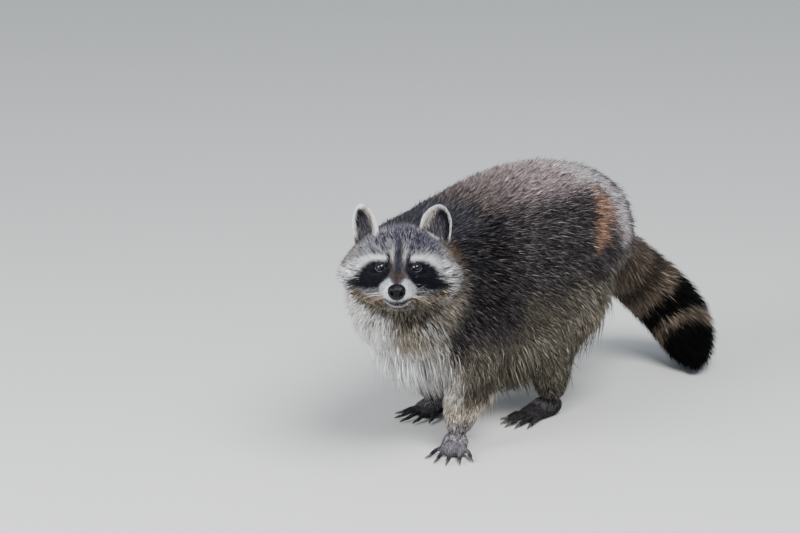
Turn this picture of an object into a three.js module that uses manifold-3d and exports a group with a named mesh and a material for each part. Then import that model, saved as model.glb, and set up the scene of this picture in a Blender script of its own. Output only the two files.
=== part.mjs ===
// A raccoon standing with its head turned to its left, life size, in millimetres.
// +X is forward along the trunk, +Y is the animal's left and +Z is up.
// Each piece reaches out to the tips of the coat.
import * as THREE from 'three';
import { mergeVertices } from 'three/addons/utils/BufferGeometryUtils.js';
import Module from 'manifold-3d';

const wasm = await Module();
wasm.setup();

const GAP = 0.3; // clearance between neighbouring pieces
const BLOCK_SIDE = 400; // of the blocks that cut, wider than the body
const FORWARD = new THREE.Vector3(1, 0, 0);
const UPWARD = new THREE.Vector3(0, 0, 1);
const SIDES = { left: 1, right: -1 };

// Driving dimensions of the head, from the point midway between the eyes.
const EYES = new THREE.Vector3(236, 65, 265); // that point in the part's frame
const HEAD_TURN = THREE.MathUtils.degToRad(35.4); // towards the animal's left
const HEAD_LIFT = THREE.MathUtils.degToRad(10); // muzzle above level
const EYE_RADIUS = 7.2;
const EYE_SPACING = 41.5; // centre to centre
const EYE_DEPTH = 10.5; // centre of the eye ahead of the reference point
const NOSE = { length: 8, halfWidth: 10.5, halfHeight: 9, ahead: 53, below: 24.5 };
const EAR = { halfWidth: 19, length: 47, depth: 8, wall: 2.6, facing: { left: 0.1, right: -0.8 } };

// Where the limbs stand: wrists and ankles in the part's frame.
const WRIST_HEIGHT = 27;
const ANKLE_HEIGHT = 30;
const FORE = {
  left: { wrist: [109, 56], turn: 26 },
  right: { wrist: [2, -54], turn: -10 },
};
const HIND = {
  left: { ankle: [-84, 62], turn: -8 },
  right: { ankle: [-186, -64], turn: -6 },
};
const NECK_CUT = 0.28; // where the neck meets the trunk, as a share of the neck's curve
const TAIL_CUTS = [0.36, 0.68]; // where the tail is divided, as shares of its length

const point = (x, y, z) => new THREE.Vector3(x, y, z);

// A smooth function through rows [share of the length, value, value, ...].
function profile(rows) {
  const shares = rows.map((row) => row[0]);
  const values = rows.flatMap((row) => row.slice(1));
  const spline = new THREE.CubicInterpolant(shares, values, rows[0].length - 1);
  return (share) => Array.from(spline.evaluate(share));
}

// A closed rounded body: the rings of a sphere carried along a curve, each ring an oval.
// girth rows are [share of the length, half width, height above the curve, depth below it].
function loft({ path, girth, around = 16, along = 12, up = UPWARD, caps = [0.15, 0.15], oval = 2 }, grow = 0) {
  const curve = new THREE.CatmullRomCurve3(path, false, 'centripetal');
  const size = profile(girth);
  const rounded = (share, cap) => (share < cap ? Math.sqrt(1 - (1 - share / cap) ** 2) : 1);
  const bulge = (value) => Math.sign(value) * Math.abs(value) ** (2 / oval);
  const geometry = new THREE.SphereGeometry(1, around, along);
  const { position, uv } = geometry.attributes;
  for (let i = 0; i < position.count; i++) {
    const polar = Math.PI * (1 - uv.getY(i));
    const turn = 2 * Math.PI * uv.getX(i);
    const share = THREE.MathUtils.clamp((1 - Math.cos(polar)) / 2, 0, 1);
    const close = rounded(share, caps[0]) * rounded(1 - share, caps[1]);
    const [halfWidth, above, below] = size(share);
    const ahead = curve.getTangentAt(share);
    const left = up.clone().cross(ahead).normalize();
    const top = ahead.clone().cross(left);
    const across = bulge(Math.cos(turn)) * (halfWidth * close + grow * Math.sqrt(close));
    const rise = bulge(Math.sin(turn)) * ((turn < Math.PI ? above : below) * close + grow * Math.sqrt(close));
    const place = curve
      .getPointAt(share)
      .addScaledVector(ahead, -grow * Math.cos(polar))
      .addScaledVector(left, across)
      .addScaledVector(top, rise);
    position.setXYZ(i, place.x, place.y, place.z);
  }
  return geometry;
}

// A geometry as a solid that can be joined and cut, its faces pointing out.
function solid(geometry) {
  const bare = new THREE.BufferGeometry();
  bare.setAttribute('position', geometry.getAttribute('position'));
  bare.setIndex(geometry.index);
  const merged = mergeVertices(bare, 1e-4);
  const vertProperties = new Float32Array(merged.attributes.position.array);
  const triVerts = new Uint32Array(merged.index.array);
  const made = new wasm.Manifold(new wasm.Mesh({ numProp: 3, vertProperties, triVerts }));
  if (made.volume() > 0) return made;
  return new wasm.Manifold(new wasm.Mesh({ numProp: 3, vertProperties, triVerts: triVerts.reverse() }));
}

const body = (form, grow = 0) => solid(loft(form, grow));
const joined = (solids) => solids.reduce((sum, next) => sum.add(next));
const cut = (whole, cutters) => cutters.reduce((rest, cutter) => rest.subtract(cutter), whole);

// The largest of the bodies that a cut leaves.
function main(whole) {
  return whole.decompose().sort((a, b) => b.volume() - a.volume())[0];
}

function mesh(name, whole, colour, roughness = 0.9) {
  const { vertProperties, triVerts } = main(whole).getMesh();
  const geometry = new THREE.BufferGeometry();
  geometry.setAttribute('position', new THREE.BufferAttribute(vertProperties, 3));
  geometry.setIndex(new THREE.BufferAttribute(triVerts, 1));
  geometry.computeVertexNormals();
  const made = new THREE.Mesh(geometry, new THREE.MeshStandardMaterial({ color: colour, roughness, metalness: 0 }));
  made.name = name;
  return made;
}

// The same solid in the frame of the group that holds it.
const carried = (whole, matrix) => whole.transform(matrix.elements);

const FUR_BACK = 0x5a5049;
const FUR_PALE = 0xa3978a;
const FUR_DARK = 0x2b2624;
const PAW_SKIN = 0x4d4547;
const HORN = 0x2a2421;

// The head, in its own frame: +X out of the muzzle, +Y to its left, origin midway between the eyes.
const HEAD_BACK = -84;
const skull = {
  path: [point(HEAD_BACK, 0, -4), point(-48, 0, -8), point(-10, 0, -12.5), point(30, 0, -18)],
  girth: [
    [0, 51, 44, 42],
    [0.15, 62, 51, 46],
    [0.35, 71, 56, 46],
    [0.5, 74, 55, 45],
    [0.65, 66, 48, 43],
    [0.8, 50, 33, 39],
    [0.92, 32, 18, 31],
    [1, 21, 11.5, 25],
  ],
  around: 22,
  along: 13,
  caps: [0.14, 0.06],
  oval: 1.85,
};
const muzzle = {
  path: [point(-12, 0, -19), point(19, 0, -21.5), point(38, 0, -23.5), point(57, 0, -26)],
  girth: [
    [0, 34, 28, 32],
    [0.4, 27, 23, 28],
    [0.62, 21.5, 16, 23],
    [0.85, 17, 11, 18],
    [1, 12, 8, 12.5],
  ],
  around: 16,
  along: 9,
  caps: [0.1, 0.14],
  oval: 2.1,
};

function ball(radius, centre, grow = 0, detail = [10, 8]) {
  return solid(new THREE.SphereGeometry(radius + grow, ...detail).translate(...centre));
}

const eyeCentre = (side) => [EYE_DEPTH, (side * EYE_SPACING) / 2, 0];

// The opening between the lids, which widens outwards from the eyeball.
function lidOpening(side) {
  const depth = 16;
  const cone = new THREE.ConeGeometry(11, depth, 10).rotateZ(Math.PI / 2).translate(depth / 2 + 1, 0, 0);
  return solid(cone.rotateZ(side * 0.2).translate(...eyeCentre(side)));
}

function nosePad(grow = 0) {
  const pad = new THREE.SphereGeometry(1, 12, 8);
  pad.scale(NOSE.length + grow, NOSE.halfWidth + grow, NOSE.halfHeight + grow);
  return solid(pad.translate(NOSE.ahead, 0, -NOSE.below));
}

// An upright cupped ear: a flattened oval body with a smaller one scooped out of its front.
function ear(name) {
  const side = SIDES[name];
  const root = point(-33, side * 38, 25);
  const tip = point(-36, side * 48, 25 + EAR.length);
  const middle = root.clone().lerp(tip, 0.5);
  const shell = {
    path: [root, middle, tip],
    girth: [
      [0, EAR.halfWidth * 0.9, EAR.depth, EAR.depth],
      [0.5, EAR.halfWidth, EAR.depth, EAR.depth],
      [1, EAR.halfWidth * 0.7, EAR.depth * 0.6, EAR.depth * 0.6],
    ],
    around: 12,
    along: 8,
    up: point(1, EAR.facing[name], 0).normalize(),
    caps: [0.1, 0.4],
  };
  const lean = (place) => place.clone().addScaledVector(shell.up, EAR.depth * 0.75);
  const hollow = {
    ...shell,
    path: [lean(root.clone().lerp(tip, 0.12)), lean(middle), lean(root.clone().lerp(tip, 0.93))],
    girth: shell.girth.map(([share, halfWidth, above, below]) => [share, halfWidth - EAR.wall, above, below]),
  };
  return body(shell).subtract(body(hollow));
}

const headForm = (grow = 0) => joined([body(skull, grow), body(muzzle, grow)]);

const head = new THREE.Group();
head.position.copy(EYES);
head.rotation.set(0, -HEAD_LIFT, HEAD_TURN, 'ZYX');
head.updateMatrix();

head.add(
  mesh(
    'head',
    cut(headForm(), [
      nosePad(GAP),
      ...Object.values(SIDES).flatMap((side) => [ball(EYE_RADIUS, eyeCentre(side), GAP), lidOpening(side)]),
    ]),
    FUR_PALE,
  ),
  mesh('nose', nosePad(), FUR_DARK, 0.35),
);
for (const [name, side] of Object.entries(SIDES)) {
  head.add(
    mesh(`eye_${name}`, ball(EYE_RADIUS, eyeCentre(side)), 0x120e0c, 0.1),
    mesh(`ear_${name}`, ear(name).subtract(headForm(GAP)), FUR_PALE),
  );
}

// The trunk, from the rump to the chest.
const trunk = {
  path: [
    point(-297, 0, 186),
    point(-235, 0, 196),
    point(-165, 0, 198),
    point(-100, 0, 191),
    point(-40, 0, 185),
    point(44, 0, 188),
    point(110, 0, 192),
    point(178, 0, 190),
  ],
  girth: [
    [0, 54, 60, 44],
    [0.13, 80, 87, 58],
    [0.28, 100, 111, 92],
    [0.42, 107, 125, 119],
    [0.55, 106, 127, 121],
    [0.72, 93, 115, 107],
    [0.86, 82, 106, 100],
    [1, 66, 84, 84],
  ],
  around: 20,
  along: 14,
  caps: [0.14, 0.12],
};
const neck = {
  path: [point(70, 0, 196), point(120, 8, 212), point(162, 20, 226), point(198, 38, 238)],
  girth: [
    [0, 84, 94, 96],
    [0.35, 82, 90, 106],
    [0.7, 77, 75, 102],
    [1, 64, 52, 72],
  ],
  around: 18,
  along: 8,
  caps: [0.1, 0.12],
};
const tail = {
  path: [
    point(-270, 0, 184),
    point(-315, 8, 140),
    point(-348, 22, 108),
    point(-367, 48, 77),
    point(-361, 82, 42),
    point(-335, 113, 17),
  ],
  girth: [
    [0, 37, 37, 37],
    [0.25, 40, 40, 40],
    [0.58, 42, 42, 42],
    [0.8, 38, 38, 37],
    [1, 22, 22, 22],
  ],
  around: 12,
  along: 12,
  up: FORWARD,
  caps: [0.06, 0.2],
};

// The legs. A girth row's last two numbers are the depth to the front and to the back.
function foreleg(side, wrist) {
  const shoulder = point(wrist[0] * 0.15 + 62, side * 50, 195);
  const elbow = point(wrist[0] * 0.5 + 10, side * 64, 106);
  return {
    upper: {
      path: [shoulder, shoulder.clone().lerp(elbow, 0.5).add(point(4, side * 5, 0)), elbow],
      girth: [
        [0, 26, 42, 38],
        [0.5, 40, 56, 52],
        [1, 31, 43, 43],
      ],
      around: 12,
      along: 8,
      up: FORWARD,
      caps: [0.3, 0.3],
    },
    lower: {
      path: [
        elbow.clone().add(point(4, 0, 16)),
        elbow.clone().lerp(point(...wrist, WRIST_HEIGHT), 0.55).add(point(10, side * -1, 0)),
        point(...wrist, WRIST_HEIGHT - 6),
      ],
      girth: [
        [0, 32, 42, 45],
        [0.35, 30, 39, 42],
        [0.7, 22, 27, 27],
        [1, 13, 13, 13],
      ],
      around: 10,
      along: 7,
      up: FORWARD,
      caps: [0.25, 0.12],
    },
  };
}

function hindleg(side, ankle) {
  const hip = point(ankle[0] * 0.4 - 148, side * 50, 206);
  const knee = point(ankle[0] + 36, side * 74, 112);
  return {
    upper: {
      path: [hip, hip.clone().lerp(knee, 0.5).add(point(0, side * 10, -6)), knee],
      girth: [
        [0, 32, 42, 34],
        [0.45, 49, 58, 46],
        [0.8, 43, 47, 52],
        [1, 31, 35, 46],
      ],
      around: 12,
      along: 8,
      up: FORWARD,
      caps: [0.3, 0.25],
    },
    lower: {
      path: [
        knee.clone().add(point(-4, 0, 14)),
        knee.clone().lerp(point(...ankle, ANKLE_HEIGHT), 0.5).add(point(2, 0, 0)),
        point(...ankle, ANKLE_HEIGHT - 10),
      ],
      girth: [
        [0, 33, 37, 54],
        [0.4, 31, 28, 48],
        [0.75, 21, 19, 29],
        [1, 13, 13, 14],
      ],
      around: 10,
      along: 7,
      up: FORWARD,
      caps: [0.25, 0.12],
    },
  };
}

// A paw in its own frame: origin on the ground under the wrist or ankle, +X towards the toes.
// fan gives each digit's angle and length, from the inner digit to the outer one.
const PAWS = {
  fore: {
    palm: { path: [point(-8, 0, 18), point(8, 0, 13), point(34, 0, 8)], width: [13, 16, 17], thick: [14, 11, 8] },
    root: 25,
    spread: 15,
    digitRadius: 3.1,
    fan: [[30, 23], [13, 32], [0, 35], [-13, 33], [-28, 25]],
  },
  hind: {
    palm: { path: [point(-13, 0, 13), point(14, 0, 13), point(52, 0, 8)], width: [12, 14, 16], thick: [14, 12, 8] },
    root: 44,
    spread: 14.5,
    digitRadius: 3.2,
    fan: [[20, 25], [8, 33], [0, 35], [-8, 33], [-18, 26]],
  },
};
const KNUCKLE_HEIGHT = 8;
const TOE_HEIGHT = 2.5;
const CLAW = { length: 11, radius: 1.9, tip: 0.55 };

function digits(kind, side) {
  const { root, spread, digitRadius, fan } = PAWS[kind];
  return fan.map(([angle, length], i) => {
    const turn = THREE.MathUtils.degToRad(angle * -side);
    const out = point(Math.cos(turn), Math.sin(turn), 0);
    const across = ((i / (fan.length - 1)) * 2 - 1) * spread * side;
    const start = point(root - Math.abs(across) * 0.35 - 6, across * 0.86, KNUCKLE_HEIGHT - 1);
    const end = start.clone().addScaledVector(out, length + 6).setZ(TOE_HEIGHT);
    const bend = start.clone().lerp(end, 0.55).setZ(KNUCKLE_HEIGHT);
    const toe = {
      path: [start, bend, end],
      girth: [
        [0, digitRadius * 1.1, digitRadius, digitRadius],
        [0.6, digitRadius, digitRadius * 0.9, digitRadius],
        [1, digitRadius * 0.85, digitRadius * 0.8, digitRadius],
      ],
      around: 6,
      along: 4,
      caps: [0.12, 0.12],
    };
    const nail = end.clone().addScaledVector(out, -3).setZ(TOE_HEIGHT + 1.2);
    const claw = {
      path: [
        nail,
        nail.clone().addScaledVector(out, CLAW.length * 0.6).setZ(TOE_HEIGHT + 1.6),
        nail.clone().addScaledVector(out, CLAW.length).setZ(CLAW.tip + 0.4),
      ],
      girth: [
        [0, CLAW.radius, CLAW.radius, CLAW.radius],
        [0.5, CLAW.radius * 0.8, CLAW.radius, CLAW.radius],
        [1, CLAW.tip, CLAW.tip, CLAW.tip],
      ],
      around: 5,
      along: 3,
      caps: [0.05, 0.05],
    };
    return { toe, claw };
  });
}

const ground = solid(
  new THREE.BoxGeometry(BLOCK_SIDE, BLOCK_SIDE, BLOCK_SIDE).translate(0, 0, -BLOCK_SIDE / 2),
);

function pawForm(kind, side, grow = 0) {
  const { path, width, thick } = PAWS[kind].palm;
  const palm = {
    path,
    girth: [0, 0.45, 1].map((share, i) => [share, width[i], thick[i], thick[i] + 2]),
    around: 10,
    along: 6,
    caps: [0.2, 0.12],
  };
  return joined([body(palm, grow), ...digits(kind, side).map(({ toe }) => body(toe, grow))]);
}

const animal = new THREE.Group();
const limbs = [];

function addLeg(kind, name, [x, y], turn, form) {
  const side = SIDES[name];
  const foot = new THREE.Group();
  foot.position.set(x, y, 0);
  foot.rotation.z = THREE.MathUtils.degToRad(turn);
  foot.updateMatrix();
  const upper = body(form.upper);
  const lower = body(form.lower).subtract(body(form.upper, GAP));
  const paw = pawForm(kind, side).subtract(ground);
  foot.add(mesh(`${kind}paw_${name}`, paw, PAW_SKIN));
  digits(kind, side).forEach(({ claw }, i) => {
    foot.add(mesh(`${kind}claw_${name}_${i + 1}`, body(claw).subtract(pawForm(kind, side, GAP)), HORN, 0.4));
  });
  animal.add(
    foot,
    mesh(`${kind}leg_upper_${name}`, upper, FUR_BACK),
    mesh(`${kind}leg_lower_${name}`, lower.subtract(carried(pawForm(kind, side, GAP), foot.matrix)), FUR_PALE),
  );
  limbs.push(body(form.upper, GAP), body(form.lower, GAP));
}

for (const [name, side] of Object.entries(SIDES)) {
  addLeg('fore', name, FORE[name].wrist, FORE[name].turn, foreleg(side, FORE[name].wrist));
  addLeg('hind', name, HIND[name].ankle, HIND[name].turn, hindleg(side, HIND[name].ankle));
}

// A solid divided by thin cuts across a curve, its lengths in order along that curve.
function divided(whole, path, shares) {
  const curve = new THREE.CatmullRomCurve3(path, false, 'centripetal');
  const onward = path.at(-1).clone().sub(path[0]);
  const slab = new THREE.BoxGeometry(BLOCK_SIDE, BLOCK_SIDE, GAP);
  const saws = shares.map((share) => {
    const turn = new THREE.Quaternion().setFromUnitVectors(UPWARD, curve.getTangentAt(share));
    const place = curve.getPointAt(share);
    return solid(slab.clone().applyQuaternion(turn).translate(place.x, place.y, place.z));
  });
  const progress = (part) => {
    const { min, max } = part.boundingBox();
    return point(...min).add(point(...max)).dot(onward);
  };
  const lengths = cut(whole, saws).decompose().sort((a, b) => b.volume() - a.volume());
  return lengths.slice(0, shares.length + 1).sort((a, b) => progress(a) - progress(b));
}

const headInPlace = carried(headForm(GAP), head.matrix);
const torso = cut(joined([body(trunk), body(neck)]), limbs.concat(headInPlace));
const tailWhole = cut(body(tail), [body(trunk, GAP), ...limbs]);
animal.add(head);
divided(main(torso), neck.path, [NECK_CUT]).forEach((part, i) => {
  animal.add(mesh(['trunk', 'neck'][i], part, FUR_BACK));
});
divided(main(tailWhole), tail.path, TAIL_CUTS).forEach((part, i) => {
  animal.add(mesh(`tail_${['base', 'middle', 'tip'][i]}`, part, FUR_DARK));
});

// The origin goes to the middle of the ground under the whole animal.
const whole = new THREE.Box3().setFromObject(animal, true);
const centre = whole.getCenter(new THREE.Vector3());
animal.position.set(-centre.x, -centre.y, -whole.min.z);

export default animal;
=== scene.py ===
"""A raccoon standing with its head turned to its left: skin, eyes, nose, claws, whiskers and coat.

Everything is in metres, in the frame's own axes: +X forward along the trunk, +Y to the animal's
left and +Z up. Sizes named with MM are given in millimetres.
"""

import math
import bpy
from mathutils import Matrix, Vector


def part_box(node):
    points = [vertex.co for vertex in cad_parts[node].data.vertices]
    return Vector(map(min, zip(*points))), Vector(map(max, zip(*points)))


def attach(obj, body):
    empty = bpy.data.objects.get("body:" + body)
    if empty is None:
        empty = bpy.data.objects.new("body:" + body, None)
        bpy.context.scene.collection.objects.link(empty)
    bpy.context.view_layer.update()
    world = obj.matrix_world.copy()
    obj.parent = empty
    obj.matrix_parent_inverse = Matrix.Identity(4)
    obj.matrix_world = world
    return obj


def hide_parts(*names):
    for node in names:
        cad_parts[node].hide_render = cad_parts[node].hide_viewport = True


bl_info = {
    "name": "Raccoon",
    "version": (1, 0, 0),
    "blender": (4, 5, 0),
    "location": "3D View > Sidebar > Raccoon",
    "description": "Builds a life-size raccoon over its frame, with skin, coat and face",
    "category": "Object",
}

import bmesh
import bpy
import numpy as np
from bpy.props import FloatProperty, FloatVectorProperty, PointerProperty
from mathutils import Matrix, Vector
from mathutils.bvhtree import BVHTree
from mathutils.kdtree import KDTree

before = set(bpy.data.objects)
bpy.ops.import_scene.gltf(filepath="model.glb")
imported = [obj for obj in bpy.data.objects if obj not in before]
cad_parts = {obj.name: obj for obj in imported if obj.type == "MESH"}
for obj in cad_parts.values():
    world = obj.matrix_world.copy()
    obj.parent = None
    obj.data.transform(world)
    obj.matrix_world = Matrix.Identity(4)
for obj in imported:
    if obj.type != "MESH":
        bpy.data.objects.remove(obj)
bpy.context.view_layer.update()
MM = 0.001
SIDES = {"left": 1, "right": -1}
LEGS = [(kind, side) for kind in ("fore", "hind") for side in SIDES]
TAIL = ["tail_base", "tail_middle", "tail_tip"]
FACE_SLOPE = 0.096  # how much the face's markings climb for each millimetre towards the nose


# ---------------------------------------------------------------- places taken from the frame


def unit(vectors):
    """Vectors of length one, along the last axis."""
    return vectors / np.maximum(np.linalg.norm(vectors, axis=-1, keepdims=True), 1e-12)


def points_of(mesh):
    """The places of a mesh's vertices, as an array."""
    places = np.empty(len(mesh.vertices) * 3, np.float32)
    mesh.vertices.foreach_get("co", places)
    return places.reshape(-1, 3).astype(float)


def node_points(name):
    """The places of a frame node's vertices."""
    return points_of(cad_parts[name].data)


def centre(name):
    """The middle of a frame node's box."""
    low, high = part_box(name)
    return np.array((low + high) / 2)


def ends(name):
    """The middles of a node's upper and lower ends."""
    places = node_points(name)
    low, high = places[:, 2].min(), places[:, 2].max()
    slice_height = 0.12 * (high - low)
    top = places[places[:, 2] > high - slice_height].mean(0)
    bottom = places[places[:, 2] < low + slice_height].mean(0)
    return top, bottom


class HeadFrame:
    """The head's own axes in millimetres: x out of the muzzle, y to its left, z up."""

    NOSE_DROP = math.atan2(24.5, 42.5)  # how far the nose lies below the eyes' level, seen from them
    EYE_AHEAD = 10.5  # the eyes' centres ahead of the origin

    def __init__(self):
        eyes = (centre("eye_left") + centre("eye_right")) / 2
        self.left = unit(centre("eye_left") - centre("eye_right"))
        to_nose = centre("nose") - eyes
        to_nose = unit(to_nose - self.left * (to_nose @ self.left))
        over_nose = np.cross(to_nose, self.left)
        self.forward = to_nose * math.cos(self.NOSE_DROP) + over_nose * math.sin(self.NOSE_DROP)
        self.up = np.cross(self.forward, self.left)
        self.axes = np.stack([self.forward, self.left, self.up])
        self.origin = eyes - self.forward * self.EYE_AHEAD * MM

    def local(self, places):
        """Places of the frame in the head's own axes."""
        return (places - self.origin) @ self.axes.T / MM

    def world(self, places):
        """Places of the head's own axes in the frame."""
        return np.asarray(places, float) * MM @ self.axes + self.origin


HEAD = HeadFrame()


def tail_path():
    """Points along the middle of the tail, close together, from its root to its tip."""
    base_top, base_bottom = ends("tail_base")
    middle_top, middle_bottom = ends("tail_middle")
    tip_points = node_points("tail_tip")
    joint = (middle_bottom + ends("tail_tip")[0]) / 2
    far = tip_points[np.argmax(np.linalg.norm(tip_points - joint, axis=1))]
    stops = np.array([base_top, centre("tail_base"), (base_bottom + middle_top) / 2,
                      centre("tail_middle"), joint, centre("tail_tip"), far])
    for _ in range(4):
        between = (stops[1:] + stops[:-1]) / 2
        mixed = np.empty((len(stops) + len(between), 3))
        mixed[0::2] = stops
        mixed[1::2] = between
        inner = (mixed[:-2] + 2 * mixed[1:-1] + mixed[2:]) / 4
        stops = np.concatenate([mixed[:1], inner, mixed[-1:]])
    return stops


TAIL_PATH = tail_path()


# ---------------------------------------------------------------- small tools


def rise(low, high, value):
    """0 below low, 1 above high, and smooth between; high may be the lower one."""
    share = np.clip((value - low) / (high - low), 0, 1)
    return share * share * (3 - 2 * share)


def mix(a, b, share):
    """a where share is 0 and b where it is 1."""
    return a + (b - a) * share


def tint(a, b, share):
    """Colours a turned into b by a share for each place."""
    return a + (b - a) * np.clip(share, 0, 1)[:, None]


def blob(*axes):
    """1 at one place and less away from it; each axis gives values, the middle and the size."""
    power = 0
    for values, middle, size in axes:
        power = power - ((values - middle) / size) ** 2
    return np.exp(power)


def near_line(across, up, stops, widths):
    """How far places lie from a broken line, as a share of its width there."""
    best = np.full(across.shape, np.inf)
    for (start, end), (w0, w1) in zip(zip(stops, stops[1:]), zip(widths, widths[1:])):
        along = np.subtract(end, start)
        share = ((across - start[0]) * along[0] + (up - start[1]) * along[1]) / (along @ along)
        share = np.clip(share, 0, 1)
        gap = np.hypot(across - start[0] - share * along[0], up - start[1] - share * along[1])
        best = np.minimum(best, gap / (w0 + (w1 - w0) * share))
    return best


def inside(across, up, outline):
    """Signed distance to a closed outline, positive inside it."""
    best = np.full(across.shape, np.inf)
    within = np.zeros(across.shape, bool)
    for (x0, y0), (x1, y1) in zip(outline, outline[1:] + outline[:1]):
        dx, dy = x1 - x0, y1 - y0
        share = np.clip(((across - x0) * dx + (up - y0) * dy) / (dx * dx + dy * dy), 0, 1)
        best = np.minimum(best, np.hypot(across - x0 - share * dx, up - y0 - share * dy))
        crosses = (y0 > up) != (y1 > up)
        within ^= crosses & (across < dx * (up - y0) / (dy if dy else 1e-9) + x0)
    return np.where(within, best, -best)


def ripple(places, size, seed):
    """Smooth irregular values of about -1 to 1, changing over the given size in metres."""
    rng = np.random.default_rng(seed)
    total = np.zeros(len(places))
    for _ in range(7):
        wave = unit(rng.normal(size=3)) * rng.uniform(0.6, 1.5) * 2 * math.pi / size
        total += np.sin(places @ wave + rng.uniform(0, 2 * math.pi))
    return total / 2.6


def relax(values, edges, rounds, share=0.5):
    """Evens values out between the ends of edges. share may differ from vertex to vertex."""
    count = len(values)
    degree = np.maximum(np.bincount(edges.ravel(), minlength=count), 1)[:, None]
    share = np.reshape(share, (-1, 1)) if np.ndim(share) else share
    for _ in range(rounds):
        total = np.empty_like(values)
        for k in range(values.shape[1]):
            total[:, k] = np.bincount(edges[:, 0], values[edges[:, 1], k], count)
            total[:, k] += np.bincount(edges[:, 1], values[edges[:, 0], k], count)
        values = values + share * (total / degree - values)
    return values


def point_normals(places, corners):
    """The normal at each vertex, from the triangles round it by their size."""
    a, b, c = (places[corners[:, i]] for i in range(3))
    faces = np.cross(b - a, c - a)
    total = np.stack([
        sum(np.bincount(corners[:, i], faces[:, k], len(places)) for i in range(3)) for k in range(3)
    ], axis=1)
    return unit(total)


def triangles_of(mesh):
    """The vertices of each triangle of a mesh."""
    mesh.calc_loop_triangles()
    corners = np.empty(len(mesh.loop_triangles) * 3, np.int32)
    mesh.loop_triangles.foreach_get("vertices", corners)
    return corners.reshape(-1, 3)


def edges_of(mesh):
    """The vertices at the ends of each edge of a mesh."""
    pairs = np.empty(len(mesh.edges) * 2, np.int32)
    mesh.edges.foreach_get("vertices", pairs)
    return pairs.reshape(-1, 2)


def store(mesh, name, values, kind):
    """Keeps one value for each vertex as a named attribute."""
    made = mesh.attributes.new(name, kind, "POINT")
    field = {"FLOAT": "value", "FLOAT_VECTOR": "vector", "FLOAT_COLOR": "color"}[kind]
    if kind == "FLOAT_COLOR":
        values = np.concatenate([values, np.ones((len(values), 1))], axis=1)
    made.data.foreach_set(field, np.ascontiguousarray(values, np.float32).ravel())


def recall(mesh, name):
    """The numbers or vectors that a mesh keeps under a name."""
    made = mesh.attributes[name]
    single = made.data_type == "FLOAT"
    values = np.empty(len(made.data) * (1 if single else 3), np.float32)
    made.data.foreach_get("value" if single else "vector", values)
    return values.astype(float) if single else values.reshape(-1, 3).astype(float)


def move(mesh, places):
    """Puts a mesh's vertices at new places."""
    mesh.vertices.foreach_set("co", np.ascontiguousarray(places, np.float32).ravel())


def mesh_from(name, places, faces):
    """A smooth mesh whose faces all have the same number of corners."""
    made = bpy.data.meshes.new(name)
    made.vertices.add(len(places))
    move(made, places)
    faces = np.ascontiguousarray(faces, np.int32)
    made.loops.add(faces.size)
    made.loops.foreach_set("vertex_index", faces.ravel())
    made.polygons.add(len(faces))
    made.polygons.foreach_set("loop_start", np.arange(len(faces), dtype=np.int32) * faces.shape[1])
    made.update(calc_edges=True)
    made.shade_smooth()
    return made


def ball(name, subdivisions):
    """A mesh of a ball of radius one."""
    bm = bmesh.new()
    bmesh.ops.create_icosphere(bm, subdivisions=subdivisions, radius=1)
    made = bpy.data.meshes.new(name)
    bm.to_mesh(made)
    bm.free()
    return made


def placed(name, data):
    """A new object in the scene."""
    made = bpy.data.objects.new(name, data)
    bpy.context.scene.collection.objects.link(made)
    return made


def baked(holder):
    """The mesh that an object's modifiers make of it; the object itself goes."""
    graph = bpy.context.evaluated_depsgraph_get()
    made = bpy.data.meshes.new_from_object(holder.evaluated_get(graph))
    bpy.data.objects.remove(holder)
    return made


def add_piece(name, mesh, material, replaced=()):
    """A finished piece, riding on the frame's one body."""
    piece = placed(name, mesh)
    if material is not None:
        mesh.materials.clear()
        mesh.materials.append(material)
    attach(piece, "root")
    if replaced:
        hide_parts(*replaced)
    return piece


# ---------------------------------------------------------------- materials


class Value:
    """A socket that can be used in sums and products."""

    def __init__(self, paint, socket):
        self.paint = paint
        self.socket = socket

    def _math(self, operation, other):
        """This socket and another one, or a number, through a maths node."""
        return self.paint.value("ShaderNodeMath", {"operation": operation}, {0: self, 1: other})

    def __add__(self, other):
        return self._math("ADD", other)

    def __sub__(self, other):
        return self._math("SUBTRACT", other)

    def __mul__(self, other):
        return self._math("MULTIPLY", other)


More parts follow.
